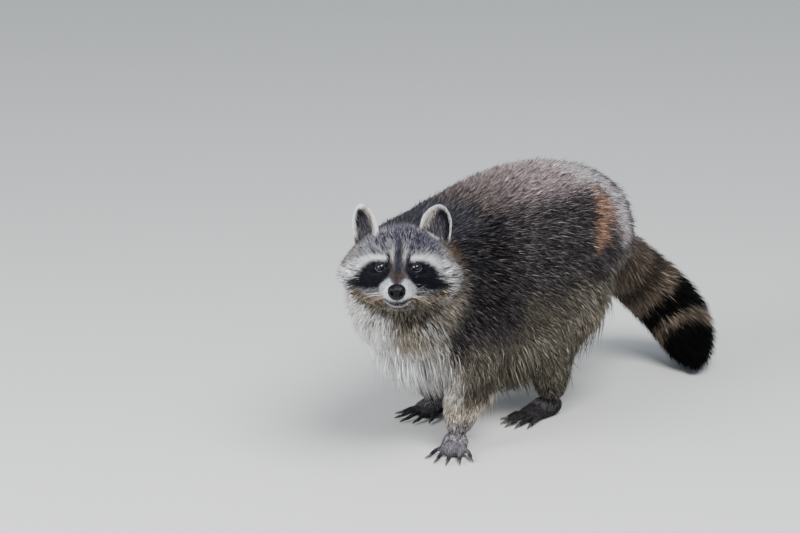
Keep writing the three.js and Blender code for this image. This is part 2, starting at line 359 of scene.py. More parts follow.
class Paint:
    """A material and the few ways in which its nodes are made."""

    def __init__(self, name, **settings):
        self.material = bpy.data.materials.new(name)
        self.material.use_nodes = True
        self.tree = self.material.node_tree
        self.shader = self.tree.nodes["Principled BSDF"]
        for socket, value in settings.items():
            self.shader.inputs[socket.replace("_", " ")].default_value = value

    def node(self, kind, settings=None, inputs=None, output=0):
        """One output of a new node, made with its settings and what goes into it."""
        made = self.tree.nodes.new(kind)
        for key, value in (settings or {}).items():
            setattr(made, key, value)
        for key, value in (inputs or {}).items():
            self.plug(value, made.inputs[key])
        return made.outputs[output]

    def plug(self, value, socket):
        """Gives a socket a constant, or a link from another node."""
        value = value.socket if isinstance(value, Value) else value
        if isinstance(value, bpy.types.NodeSocket):
            self.tree.links.new(value, socket)
        else:
            socket.default_value = value

    def value(self, kind, settings=None, inputs=None, output=0):
        """The same, for use in sums and products."""
        return Value(self, self.node(kind, settings, inputs, output))

    def attribute(self, name):
        """A colour kept in the mesh."""
        return self.node("ShaderNodeAttribute", {"attribute_name": name}, output="Color")

    def measure(self, name):
        """A number kept in the mesh."""
        return self.value("ShaderNodeAttribute", {"attribute_name": name}, output="Fac")

    def places(self):
        """The place of each point of the piece."""
        return self.node("ShaderNodeTexCoord", output="Object")

    def noise(self, scale, detail=3.0, roughness=0.55, stretch=(1, 1, 1)):
        """Noise over the piece, scale being its waves to a metre."""
        spot = self.node("ShaderNodeMapping", inputs={"Vector": self.places(), "Scale": stretch})
        sizes = {"Vector": spot, "Scale": scale, "Detail": detail, "Roughness": roughness}
        return self.value("ShaderNodeTexNoise", inputs=sizes)

    def mixed(self, share, first, second, blend="MIX"):
        """Two colours mixed by a share."""
        settings = {"data_type": "RGBA", "blend_type": blend}
        return self.node("ShaderNodeMix", settings, {0: share, 6: first, 7: second}, output=2)

    def tinted(self, colour, dark, light, amount):
        """A colour made darker or lighter by an amount of 0 to 1."""
        grey = self.mixed(amount, (dark,) * 3 + (1,), (light,) * 3 + (1,))
        return self.mixed(1.0, colour, grey, "MULTIPLY")

    def colour(self, value):
        """Sets the material's colour."""
        self.plug(value, self.shader.inputs["Base Color"])
        return self

    def bump(self, height, depth, strength=1.0):
        """Raises the surface by a height of 0 to 1, over a depth in metres."""
        sizes = {"Height": height, "Distance": depth, "Strength": strength}
        self.plug(self.node("ShaderNodeBump", inputs=sizes), self.shader.inputs["Normal"])
        return self


def skin_paint():
    """The skin with its shortest hair, which shows between the tufts, on the lids and under the toes."""
    paint = Paint("raccoon_skin", Roughness=0.75, Specular_IOR_Level=0.1)
    fine = paint.noise(900, 4.0, 0.65)
    paint.colour(paint.tinted(paint.attribute("Markings"), 0.55, 1.15, fine))
    return paint.bump(fine, 0.0006, 0.6).material


def coat_paint():
    """Hair, coloured along each tuft and a little different from one to the next."""
    paint = Paint("raccoon_coat", Roughness=0.6, Specular_IOR_Level=0.07)
    fine = paint.noise(700, 2.0)
    return paint.colour(paint.tinted(paint.attribute("Coat"), 0.8, 1.2, fine)).material


# ---------------------------------------------------------------- settings


def length_setting(name, description, default, low=0.005, high=0.08):
    """A length in metres."""
    return FloatProperty(name=name, description=description, default=default, min=low, max=high,
                         unit="LENGTH", subtype="DISTANCE")


def colour_setting(name, description, default):
    """A colour, in linear shares of red, green and blue."""
    return FloatVectorProperty(name=name, description=description, default=default, min=0, max=1,
                               subtype="COLOR")


class RaccoonCoat(bpy.types.PropertyGroup):
    """Sizes of the coat."""

    back_length: length_setting("Back", "Length of the hair on the back and flanks", 0.036)
    belly_length: length_setting("Belly", "Length of the shaggy hair under the body", 0.044)
    tail_length: length_setting("Tail", "Length of the hair on the tail", 0.040)
    face_length: length_setting("Face", "Length of the hair round the eyes", 0.007, 0.002, 0.03)
    spacing: length_setting("Spacing", "Distance between tufts on the back", 0.00215, 0.001, 0.02)


class RaccoonColours(bpy.types.PropertyGroup):
    """Colours of the coat and the skin."""

    back: colour_setting("Back", "Body of the hair on the back", (0.030, 0.027, 0.030))
    back_tips: colour_setting("Back tips", "Pale ends of the hair on the back", (0.23, 0.195, 0.185))
    mantle: colour_setting("Mantle", "Dark hair of the nape and shoulders", (0.008, 0.008, 0.011))
    under: colour_setting("Underside", "Body of the hair on the legs and belly", (0.16, 0.135, 0.105))
    under_tips: colour_setting("Underside tips", "Pale ends of the hair below", (0.60, 0.54, 0.44))
    white: colour_setting("White", "Brows, muzzle, cheeks and the rims of the ears", (0.92, 0.91, 0.91))
    mask: colour_setting("Mask", "Black round the eyes", (0.011, 0.011, 0.016))
    forehead: colour_setting("Forehead", "Grizzled grey of the forehead", (0.105, 0.107, 0.145))
    brown: colour_setting("Brown", "Warm hair on the jaw, throat and behind the ears", (0.17, 0.115, 0.075))
    rust: colour_setting("Rust", "Reddish patch on the rump", (0.30, 0.18, 0.125))
    ring_dark: colour_setting("Dark rings", "Dark rings of the tail", (0.003, 0.003, 0.003))
    ring_pale: colour_setting("Pale rings", "Tan rings of the tail", (0.135, 0.105, 0.08))
    paw: colour_setting("Paws", "Thin hair on the paws", (0.16, 0.15, 0.16))
    bare: colour_setting("Bare skin", "Lids, lips and soles", (0.035, 0.031, 0.034))


class RaccoonStage(bpy.types.PropertyGroup):
    """The floor, the light and the camera."""

    floor: colour_setting("Floor", "Colour of the floor", (0.62, 0.62, 0.60))
    lens: FloatProperty(name="Lens", description="Focal length of the camera", default=177.0,
                        min=20, max=400, unit="CAMERA")
    daylight: FloatProperty(name="Daylight", description="Strength of the light from all round",
                            default=0.62, min=0, max=10)
    softbox: FloatProperty(name="Softbox", description="Strength of the light overhead",
                           default=145.0, min=0, max=1000)


def settings(name):
    """One of the scene's groups of settings."""
    return getattr(bpy.context.scene, name)


def colours():
    """The colours as arrays, by name."""
    group = settings("raccoon_colours")
    return {name: np.array(getattr(group, name)) for name in RaccoonColours.__annotations__}


# ---------------------------------------------------------------- the outer form and the skin


REGIONS = (
    ["head", "neck", "trunk", "tail"]
    + [f"{kind}leg_{part}_{side}" for kind, side in LEGS for part in ("upper", "lower")]
    + [f"{kind}paw_{side}" for kind, side in LEGS]
)
REGION_NODES = {name: [name] for name in REGIONS} | {"tail": TAIL, "head": ["head", "nose"]}
FLESH = [node for name in REGIONS for node in REGION_NODES[name] if node != "nose"]
PAWS = [f"{kind}paw_{side}" for kind, side in LEGS]
EARS = [f"ear_{side}" for side in SIDES]
VOXEL = 3.6 * MM
FINE_VOXEL = 1.2 * MM  # for the paws and the ears
LID_SLANT = 0.02  # how far the opening between the lids climbs outwards
PAW_DEPTH = 0.35 * MM  # from the frame's outline down to the skin of the paws and of the ears
EAR_DEPTH = 0.5 * MM
REGION_BLEND = 7 * MM  # the distance over which one region passes into the next


def eye_place(side):
    """The middle of an eye."""
    return centre(f"eye_{side}")


def eye_radius():
    """Half of an eye's height."""
    low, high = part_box("eye_left")
    return (high - low).z / 2


def united(nodes, voxel, swell=0.0, plugs=()):
    """One closed surface round several solids, of even small faces. plugs are balls that are added."""
    bm = bmesh.new()
    for node in nodes:
        bm.from_mesh(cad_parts[node].data)
    bmesh.ops.remove_doubles(bm, verts=bm.verts, dist=1e-6)
    bm.normal_update()
    for vert in bm.verts:
        vert.co += vert.normal * swell
    for place, radius in plugs:
        at = Matrix.Translation(Vector(place))
        bmesh.ops.create_icosphere(bm, subdivisions=3, radius=radius, matrix=at)
    mesh = bpy.data.meshes.new("united")
    bm.to_mesh(mesh)
    bm.free()
    holder = placed("united", mesh)
    remesh = holder.modifiers.new("even", "REMESH")
    remesh.mode = "VOXEL"
    remesh.voxel_size = voxel
    return baked(holder)


def refined(mesh, chosen, rounds=1):
    """The mesh with its faces made smaller where chosen(face centres) is true."""
    bm = bmesh.new()
    bm.from_mesh(mesh)
    for _ in range(rounds):
        middles = np.array([face.calc_center_median() for face in bm.faces])
        picked = chosen(middles)
        edges = {edge for face, wanted in zip(bm.faces, picked) if wanted for edge in face.edges}
        bmesh.ops.subdivide_edges(bm, edges=list(edges), cuts=1, use_grid_fill=True)
    bm.to_mesh(mesh)
    bm.free()
    return mesh


def in_face(places):
    """Where the head's faces are made half as large."""
    x, y, z = HEAD.local(places).T
    return (x > -8) & (abs(y) < 60) & (abs(z) < 60)


def in_muzzle(places):
    """Where they are made half as large again."""
    x, y, z = HEAD.local(places).T
    return (x > 14) & (abs(y) < 34) & (abs(z + 10) < 50)


def nearness(places):
    """For each region, how much each place belongs to it; the shares add up to one."""
    gaps = np.full((len(places), len(REGIONS)), 1.0)
    for i, region in enumerate(REGIONS):
        meshes = [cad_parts[node].data for node in REGION_NODES[region]]
        verts = np.concatenate([points_of(mesh) for mesh in meshes])
        tree = BVHTree.FromPolygons(verts.tolist(), np.arange(len(verts)).reshape(-1, 3).tolist())
        close = np.all((places > verts.min(0) - 0.03) & (places < verts.max(0) + 0.03), axis=1)
        for k in np.flatnonzero(close):
            gaps[k, i] = tree.find_nearest(Vector(places[k]))[3]
    share = np.exp(-(gaps - gaps.min(1, keepdims=True)) / REGION_BLEND)
    return share / share.sum(1, keepdims=True)


def nearest_on_tail(places):
    """The number of the tail path's point nearest to each place."""
    return ((places[:, None, :] - TAIL_PATH[None]) ** 2).sum(2).argmin(1)


def along_tail(places):
    """The share of the tail's length at each place, and the tail's direction there."""
    steps = np.linalg.norm(np.diff(TAIL_PATH, axis=0), axis=1)
    length = np.concatenate([[0], np.cumsum(steps)])
    near = nearest_on_tail(places)
    ahead = unit(np.gradient(TAIL_PATH, axis=0))
    offset = ((places - TAIL_PATH[near]) * ahead[near]).sum(1)
    return (length[near] + offset) / length[-1], ahead[near]


def up_trunk(places):
    """How high places lie, from 0 at the bottom of the trunk to 1 at its top."""
    low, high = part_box("trunk")
    return (places[:, 2] - low.z) / (high.z - low.z)


def lie(places, normals, share):
    """The direction in which the hair lies at each place."""
    height = up_trunk(places)
    lower = 1 - height
    flows = {}
    down = np.zeros_like(places)
    down[:, 2] = -1
    back = np.zeros_like(places)
    back[:, 0] = -1
    under = rise(0.25, 0.05, height)[:, None]
    flows["trunk"] = back + down * (0.35 + 0.7 * lower[:, None]) * (1 - 0.6 * under)
    local = HEAD.local(places)
    from_head = unit(places - HEAD.world([[-40, 0, -10]]))
    flows["neck"] = 0.7 * back + down * (0.25 + 1.1 * lower[:, None]) + 0.5 * from_head
    flows["tail"] = along_tail(places)[1]
    nose_tip = np.array([58, 0, -16])
    radial = local - nose_tip
    radial[:, 0] -= 12
    radial[:, 2] -= 0.25 * np.abs(local[:, 1]) * rise(30, -25, local[:, 2])
    flows["head"] = radial @ HEAD.axes
    for kind, side in LEGS:
        lean = np.array([-0.55 if kind == "hind" else -0.35, 0, 0])
        for part, amount in (("upper", 1), ("lower", 0.5)):
            name = f"{kind}leg_{part}_{side}"
            top, bottom = ends(name)
            flows[name] = np.tile(unit(bottom - top) + amount * lean, (len(places), 1))
        toes = centre(f"{kind}claw_{side}_3") - centre(f"{kind}paw_{side}")
        flows[f"{kind}paw_{side}"] = np.tile(unit(toes), (len(places), 1))
    total = sum(share[:, i, None] * unit(flows[region]) for i, region in enumerate(REGIONS))
    total -= normals * (total * normals).sum(1, keepdims=True)
    return unit(total)


def coat_depth(places, share):
    """The depth of the coat, from its tips down to the skin, in metres."""
    x, y, _ = HEAD.local(places).T
    wide = np.abs(y)
    head = 13 - 7 * rise(-34, 6, x)
    head = mix(head, 2.6, rise(54, 34, wide) * rise(-6, 14, x))
    head = mix(head, 1.5, rise(16, 30, x))
    trunk = 20 + 4 * rise(0.35, 0.1, up_trunk(places))
    tail = 25 - 5 * rise(0.8, 1.0, along_tail(places)[0])
    depths = {"head": head, "neck": 19, "trunk": trunk, "tail": tail}
    for kind, side in LEGS:
        depths[f"{kind}leg_upper_{side}"] = 17
        depths[f"{kind}leg_lower_{side}"] = 1.9 + 13 * rise(0.03, 0.10, places[:, 2])
        depths[f"{kind}paw_{side}"] = 1.0
    return sum(share[:, i] * depths[region] for i, region in enumerate(REGIONS)) * MM


def sunk(outer, corners, edges, depth, steps=12):
    """The surface moved inwards by a depth, in small steps that keep it smooth."""
    places = outer.copy()
    ease = np.clip(depth / (12 * MM), 0.02, 1) * 0.5
    for _ in range(steps):
        places -= point_normals(places, corners) * depth[:, None] / steps
        places = relax(places, edges, 2, ease)
    return places


def eye_axes(side):
    """The way an eye looks, the way across it from the nose outwards, and the way up."""
    sign = SIDES[side]
    look = unit(np.array([math.cos(0.24), sign * math.sin(0.24), 0.02]))
    out = unit(np.array([-look[1] * sign, look[0] * sign, 0]))
    up = np.cross(look, out) * sign
    return np.stack([look, out, up]) @ HEAD.axes


def lid_reach(across, up):
    """How far the opening between the lids reaches to the sides, and up or down, as angles."""
    return np.where(across < 0, 0.94, 0.90), np.where(up > 0, 0.70, 0.64)


def opening(turn):
    """The opening between the lids, as angles across and up from the middle of the eye."""
    across, up = np.cos(turn), np.sin(turn)
    width, height = lid_reach(across, up)
    return across * width, height * up * np.abs(up) ** 0.2 + LID_SLANT * across


def lid_gap(across, up):
    """How far a direction lies from the middle of the opening, 1 being its edge."""
    level = up - LID_SLANT * across
    width, height = lid_reach(across, level)
    return np.hypot(across / width, np.sign(level) * np.abs(level / height) ** 0.83)


def from_eye(places, side):
    """Steps from an eye's middle to places, how far ahead of it they go, and their lid_gap."""
    offset = places - eye_place(side)
    ahead, across, up = (offset @ eye_axes(side).T).T
    gap = lid_gap(np.arctan2(across, ahead), np.arctan2(up, np.hypot(ahead, across)))
    return offset, ahead, gap


def set_eye(places, side):
    """The skin drawn over the eyeball, and pushed behind it where the lids are open."""
    radius = eye_radius()
    offset, ahead, gap = from_eye(places, side)
    reach = np.linalg.norm(offset, axis=1)
    close = (ahead > 0) & (reach < 2.2 * radius)
    drawn = np.where(gap < 1.06, radius - 1.6 * MM, radius + 0.6 * MM)
    share = np.where(close, rise(2.1, 1.25, gap), 0)
    wanted = mix(reach, drawn, share)
    return places + unit(offset) * (wanted - reach)[:, None]


def face_forms(places, normals):
    """The whisker pads, the mouth's line, the lip's cleft and the brows, under the short hair."""
    x, y, z = HEAD.local(places).T
    wide = np.abs(y)
    from_mouth = z - FACE_SLOPE * x - mouth_level(wide)
    lift = 1.6 * blob((x, 46, 9), (wide, 13, 7), (z, -28, 8))
    lift -= 1.8 * blob((from_mouth, 0, 1.3)) * rise(25, 32, x) * rise(26, 18, wide)
    lift -= 0.9 * blob((y, 0, 1.1)) * rise(-31, -34, z) * rise(-42, -40, z) * rise(46, 50, x)
    lift += 1.2 * blob((wide, 20, 10), (z, 12, 4)) * rise(0, 8, x)
    return places + normals * (lift * MM)[:, None]


def mouth_level(wide):
    """The height at which the mouth's line is seen, by the distance from its middle."""
    return -43.5 + 5.0 * (np.minimum(wide, 14) / 14) ** 2 + 0.45 * np.maximum(wide - 14, 0)


LID_EDGE = [(0.965, -0.1), (0.98, 0.4), (1.01, 0.7), (1.06, 0.85), (1.13, 0.75), (1.23, 0.2),
            (1.32, -0.8)]  # a lid's edge from inside out: share of the opening, height in millimetres


def lid_rims(side):
    """The wet edges of the lids: rings of places, their faces and which places are below."""
    axes = eye_axes(side)
    radius = eye_radius()
    turns = np.linspace(0, 2 * math.pi, 72, endpoint=False)
    across, up = opening(turns)
    rings = []
    for scale, lift in LID_EDGE:
        a, b = across * scale, up * scale
        spot = np.stack([np.cos(b) * np.cos(a), np.cos(b) * np.sin(a), np.sin(b)], axis=1)
        rings.append(eye_place(side) + spot @ axes * (radius + lift * MM))
    count = len(turns)
    faces = []
    for ring in range(len(rings) - 1):
        for k in range(count):
            corner = [ring * count + k, ring * count + (k + 1) % count]
            faces.append(corner + [corner[1] + count, corner[0] + count])
    faces = np.array(faces)
    if side == "left":
        faces = faces[:, ::-1]
    return np.concatenate(rings), faces, np.tile(np.sin(turns) < 0, len(rings))


def rims_of_both():
    """The edges of both eyes' lids as one mesh, and which of its vertices are below."""
    places, faces, below = [], [], []
    for side in SIDES:
        own_places, own_faces, own_below = lid_rims(side)
        faces.append(own_faces + sum(len(part) for part in places))
        places.append(own_places)
        below.append(own_below)
    return mesh_from("rims", np.concatenate(places), np.concatenate(faces)), np.concatenate(below)


def joined(first, second):
    """Two meshes made one, without touching where they meet."""
    bm = bmesh.new()
    bm.from_mesh(first)
    bm.from_mesh(second)
    bm.to_mesh(first)
    bm.free()
    bpy.data.meshes.remove(second)
    return first


def body_form():
    """The animal out to its coat's tips, without paws and ears, and its shares of each region."""
    plugs = [(eye_place(side), eye_radius() + 1.2 * MM) for side in SIDES]
    body = united([node for node in FLESH if node not in PAWS], VOXEL, 0.4 * MM, plugs)
    body = refined(refined(body, in_face), in_muzzle)
    places, edges = points_of(body), edges_of(body)
    ankles = rise(0.035, 0.075, places[:, 2])
    places = relax(places, edges, 24, np.where(in_face(places), 0.45, 0.15 + 0.45 * ankles))
    share = nearness(places)
    join = 1 - (share ** 2).sum(1)
    local = HEAD.local(places)
    join = np.clip(join * 2.2, 0, 1) * rise(10, -10, local[:, 0]) * ankles
    places = relax(places, edges, 90, 0.6 * relax(join[:, None], edges, 6)[:, 0])
    move(body, places)
    return body, share


def small_form(nodes, swell, rounds):
    """The paws or the ears on their own, more finely than the body."""
    mesh = united(nodes, FINE_VOXEL, swell)
    places = relax(points_of(mesh), edges_of(mesh), rounds, 0.35)
    move(mesh, places)
    return mesh


class RACCOON_OT_skin(bpy.types.Operator):
    """One skin over the whole animal, inside its outline by the depth of the coat"""

    bl_idname = "raccoon.skin"
    bl_label = "Skin"

    def execute(self, context):
        # The trunk with the head, legs and tail, then the paws and the ears, each sunk to its skin.
        body, share = body_form()
        outer, edges, corners = points_of(body), edges_of(body), triangles_of(body)
        skin = sunk(outer, corners, edges, coat_depth(outer, share))
        skin = face_forms(skin, point_normals(skin, corners))
        for side in SIDES:
            skin = set_eye(skin, side)
        paws = small_form(PAWS, 0.1 * MM, 4)
        paw_outer = points_of(paws)
        paw_skin = paw_outer - point_normals(paw_outer, triangles_of(paws)) * PAW_DEPTH
        ears = small_form(EARS, 0.1 * MM, 8)
        ear_outer = sunk_ears(points_of(ears))
        ear_skin = ear_outer - point_normals(ear_outer, triangles_of(ears)) * EAR_DEPTH
        body = joined(joined(body, paws), ears)
        counts = len(outer), len(paw_outer), len(ear_outer)
        on_ears = np.repeat([False, False, True], counts)
        outer = np.concatenate([outer, paw_outer, ear_outer])
        skin = np.concatenate([skin, paw_skin, ear_skin])
        share = np.concatenate([share, nearness(paw_outer), np.zeros((len(ear_outer), len(REGIONS)))])
        move(body, skin)
        # The way the hair lies.
        normals = point_normals(skin, triangles_of(body))
        flow = lie(skin, normals, share)
        flow[on_ears] = ear_lie(skin[on_ears], normals[on_ears])
        flow = relax(flow, edges_of(body), 12, 0.5)
        flow = unit(flow - normals * (flow * normals).sum(1, keepdims=True))
        # The edges of the lids are joined on last, and get no hair.
        rims, below = rims_of_both()
        body_count = len(body.vertices)
        body = joined(body, rims)
        total = len(body.vertices)
        on_rims = np.arange(total) >= body_count

        def padded(values):
            """Values of the body's vertices, with zeros for the lids' edges."""
            return np.concatenate([values, np.zeros((total - len(values),) + values.shape[1:])])

        outer = padded(outer)
        outer[on_rims] = points_of(body)[on_rims]
        flow = padded(flow)
        flow[on_rims] = HEAD.axes[0]
        share = padded(share)
        on_ears = padded(on_ears.astype(float))
        body.shade_smooth()
        # What the coat needs to know, and the skin's colours, with a painted reflection on the lower lids'
        # edges.
        store(body, "outer", outer, "FLOAT_VECTOR")
        store(body, "flow", flow, "FLOAT_VECTOR")
        store(body, "near_ear", on_ears, "FLOAT")
        store(body, "near_rim", on_rims.astype(float), "FLOAT")
        for i, region in enumerate(REGIONS):
            store(body, "near_" + region, share[:, i], "FLOAT")
        places = points_of(body)
        look = marks(places, share, on_ears, colours())
        shade = look.ground * 0.8
        bare = colours()["bare"]
        # The lids' edges: the upper ones a dark bluish grey, the lower ones pale bluish grey as a painted
        # reflection on the wet rim.
        shade[on_rims] = bare * (0.7, 0.8, 0.9)
        shade[body_count:][below] = bare * (1.9, 2.2, 2.6)
        shade = bare_places(places, shade, bare)
        store(body, "Markings", shade, "FLOAT_COLOR")
        body.name = "skin"
        add_piece("skin", body, skin_paint(), FLESH + EARS)
        return {"FINISHED"}


class Ear:
    """An ear's root, its tip, the way its hollow faces, and its outline across."""

    STEPS = 24  # steps up the ear at which its outline is measured

    def __init__(self, side):
        self.sign = SIDES[side]
        places = node_points(f"ear_{side}")
        local = HEAD.local(places)
        self.root = places[local[:, 2] < local[:, 2].min() + 12].mean(0)
        self.tip = places[np.argmax(local[:, 2])]
        self.length = np.linalg.norm(self.tip - self.root)
        self.along = unit(self.tip - self.root)
        spread = places - places.mean(0)
        spread -= np.outer(spread @ self.along, self.along)
        facing = np.linalg.svd(spread, full_matrices=False)[2][1]
        facing = facing * np.sign(facing @ HEAD.axes[0])
        self.facing = unit(facing - self.along * (facing @ self.along))
        self.across = np.cross(self.facing, self.along) * -self.sign
        thirds = places.reshape(-1, 3, 3)
        rng = np.random.default_rng(2)
        weights = rng.dirichlet((0.6, 0.6, 0.6), (len(thirds), 60))
        dense = np.einsum("nkc,ncx->nkx", weights, thirds).reshape(-1, 3)
        up, across, _ = self.local(dense)
        bins = np.clip((up * self.STEPS).astype(int), 0, self.STEPS - 1)
        self.outer_edge = np.array([across[bins == k].max(initial=0) for k in range(self.STEPS)])
        self.inner_edge = np.array([across[bins == k].min(initial=0) for k in range(self.STEPS)])

    def local(self, places):
        """Up the ear as a share, out from its middle and out of its hollow, both in metres."""
        offset = places - self.root
        return offset @ self.along / self.length, offset @ self.across, offset @ self.facing

    def mine(self, places):
        """Which places are on this ear's side of the head and near it."""
        on_side = HEAD.local(places)[:, 1] * self.sign > 0
        return on_side & (np.linalg.norm(places - self.root, axis=1) < 80 * MM)

    def to_edge(self, places):
        """The distance in from the ear's outline, and how far out a place is from -1 to 1."""
        up, across, _ = self.local(places)
        steps = (np.arange(self.STEPS) + 0.5) / self.STEPS
        outer = np.interp(up, steps, self.outer_edge)
        inner = np.interp(up, steps, self.inner_edge)
        share = (2 * across - outer - inner) / np.maximum(outer - inner, 1e-6)
        gap = np.minimum(np.minimum(outer - across, across - inner), (1 - up) * self.length)
        return gap, share


EAR_SHAPES = {side: Ear(side) for side in SIDES}


def ear_lie(places, normals):
    """Hair on the ears runs from the root to the tip and out to the edges."""
    flow = np.zeros_like(places)
    for ear in EAR_SHAPES.values():
        mine = ear.mine(places)
        flow[mine] = ear.along + np.outer(ear.to_edge(places[mine])[1] * 0.35, ear.across)
    return flow - normals * (flow * normals).sum(1, keepdims=True)


def sunk_ears(places):
    """The ears with their roots drawn down to the skin of the head."""
    for ear in EAR_SHAPES.values():
        mine = ear.mine(places)
        up = ear.local(places[mine])[0]
        places[mine] -= np.outer(rise(0.3, -0.05, up) * 17 * MM, ear.along)
    return places


def bare_places(places, shade, bare):
    """The colour of the lips and the soles, which have no hair."""
    x, y, z = HEAD.local(places).T
    wide = np.abs(y)
    from_mouth = z - FACE_SLOPE * x - mouth_level(wide)
    lips = blob((from_mouth, 0, 1.1)) * rise(25, 32, x) * rise(24, 16, wide)
    shade = tint(shade, bare, lips)
    soles = rise(4 * MM, 1.5 * MM, places[:, 2]) * (places[:, 0] > -0.2)
    return tint(shade, bare * 1.4, soles)


# ---------------------------------------------------------------- markings


MUZZLE = [(9.5, -14), (13, -14.5), (21, -21), (24, -29), (21, -38), (16, -41), (0, -43), (-1, -29),
          (4, -28), (7, -18)]  # outlines of one side of the face: out from its middle, and up
MASK = [(7, 4), (12, 8), (17, 9.5), (30, 9), (38, 7), (47, 0), (57, -10), (66, -23), (54, -29),
        (38, -28.5), (27, -27), (20.5, -20), (11, -8)]


class Look:
    """The coat's ground colour, the colour of its pale tips and how many hairs have them."""

    def __init__(self, count, ground, tips, ticks):
        self.ground = np.tile(ground, (count, 1))
        self.tips = np.tile(tips, (count, 1))
        self.ticks = np.full(count, ticks)

    def lay(self, share, ground, tips, ticks=None):
        """Lays another look over this one, by a share for each place."""
        share = np.clip(share, 0, 1)
        self.ground = tint(self.ground, ground, share)
        self.tips = tint(self.tips, tips, share)
        if ticks is not None:
            self.ticks = mix(self.ticks, ticks, share)


def face_marks(places, palette, look):
    """Lays the mask, brows, stripe, muzzle and cheeks over the look of the head."""
    x, y, z = HEAD.local(places).T
    wide = np.abs(y)
    high = z - FACE_SLOPE * x
    front = rise(-34, -14, x + 26 * rise(38, 54, wide) * rise(6, -12, z))
    white, mask, brown, grey = (palette[name] for name in ("white", "mask", "brown", "forehead"))
    cream = mix(white, brown * 2.2, 0.25)
    ragged = ripple(places, 0.006, 37)

    def lay(share, ground, tips, ticks):
        """Lays a marking on the front of the head only."""
        look.lay(np.clip(share, 0, 1) * front, ground, tips, ticks)

    def soft(distance, edge=1.4):
        """1 inside an outline and 0 outside it, with a soft edge in millimetres."""
        return rise(-edge, edge, distance)

    def band(stops, widths, edge=0.25):
        """A soft-edged band along a broken line, on both sides of the face."""
        return rise(1 + edge, 1 - edge, near_line(wide, high, stops, widths))

    lay(rise(44, 52, wide) * rise(6, -4, high), cream * 0.45, white, 0.65)
    # The cheeks, the jaw and the forehead.
    # The jaw's dark brown is partly its own colour and partly painted shade below the head.
    jaw_tips = palette["under_tips"] * (0.46, 0.38, 0.3)
    lay(soft(-43 - high, 4), brown * (0.24, 0.19, 0.15), jaw_tips, 0.34)
    lay(soft(wide - 46, 5) * soft(-24 - high, 4), cream * 0.45, white * 0.95, 0.55)
    ticks = 0.46 - 0.2 * rise(20, 44, high)
    lay(rise(8, 20, high), grey * (0.34, 0.3, 0.34), mix(grey * 4, white, 0.8), ticks)
    lay(rise(30, 6, wide) * rise(34, 48, high), grey * 0.45, grey * 2.5, 0.35)
    # Painted shade: the left side of the forehead is darker.
    painted_shade_forehead_left = rise(2, 24, y) * rise(16, 30, high) * 0.8
    lay(painted_shade_forehead_left, grey * (0.22, 0.2, 0.22), grey * (2.4, 2.3, 2.4), 0.3)
    # The pale sides of the stripe, the bridge of the nose and the stripe itself.
    up = rise(-2, 12, high)[:, None]
    beside_stripe = band([(8.5, 20), (8.2, 4), (7.4, -12)], [2.8, 2.4, 2.2], 0.6)
    lay(beside_stripe, mix(brown * (0.5, 0.55, 0.7), cream * 0.45, up),
        mix(brown * (1.7, 1.8, 2.2), white * (0.95, 0.84, 0.8), up), 0.5)
    bridge = band([(0, -23), (0, -27)], [5.0, 4.6], 0.5)
    lay(bridge, brown * (1.1, 1.0, 1.15), white * (0.85, 0.68, 0.64), 0.5)
    stripe = band([(0, 52), (0, 24), (0, 10), (0, -10)], [5.5, 4.4, 4.6, 5.6], 0.75)
    lay(stripe * mix(1, 0.5, rise(20, 42, high)), grey * 0.27, grey * 0.9, 0.35)
    stripe_end = band([(0, -10), (0, -17.5)], [5.6, 4.2], 0.5)
    lay(stripe_end, mix(grey * 0.3, brown * 0.45, 0.4), brown * (1.5, 1.4, 1.7), 0.35)
    # The brows, which run down to the cheeks.
    brow = near_line(wide, high, [(18, 11.5), (31, 12), (44, 8), (56, -2), (66, -12), (76, -24)],
                     [3.4, 4.2, 5.0, 7.0, 9.2, 10])
    brow = brow + 0.22 * ragged * rise(8, 16, high + 0.6 * (wide - 30))
    lay(rise(1.45, 0.6, brow), white * 0.95, white * 1.1, 0.85)
    cheek_edge = rise(60, 72, y + 3 * ragged) * rise(20, 6, high) * rise(-44, -36, high)
    lay(cheek_edge, brown * 0.7, cream * 0.85, 0.5)
    flecks = rise(-0.2, 0.9, ragged) * rise(38, 50, wide) * rise(-30, -16, high) * rise(18, 8, high)
    lay(flecks, grey * 0.9, white, 0.5)
    # The muzzle, the jowls and the mask.
    muzzle = soft(inside(wide, high, MUZZLE), 1.2)
    lay(muzzle, white * (0.76, 0.79, 0.86), white * 1.1, 0.8)
    streaks = rise(0.1, 0.7, ripple(places, 0.0035, 31)) * muzzle * rise(9, 14, wide)
    lay(streaks * 0.45 * rise(-38, -30, high), grey * 1.6, white * 0.8, 0.5)
    jowl = band([(23, -39), (38, -40), (56, -37)], [7, 9, 9], 0.4)
    lay(jowl, brown * (0.5, 0.4, 0.3), cream * (0.82, 0.74, 0.62), 0.42)
    lay(soft(inside(wide, high, MASK), 1.6), mask, mask * 3, 0.1)
    lay(band([(11, 3), (12.5, 16)], [3, 2.0], 0.4), mask, mask * 3, 0.1)
    lay(band([(26, -30), (46, -31)], [3.2, 4], 0.5) * rise(20, 25, wide), mask * 3, white * 0.8, 0.4)
    lay(band([(0, -53), (10, -51.5), (18, -47)], [4.5, 4.5, 3], 0.9), brown * 0.3, cream * 0.8, 0.4)
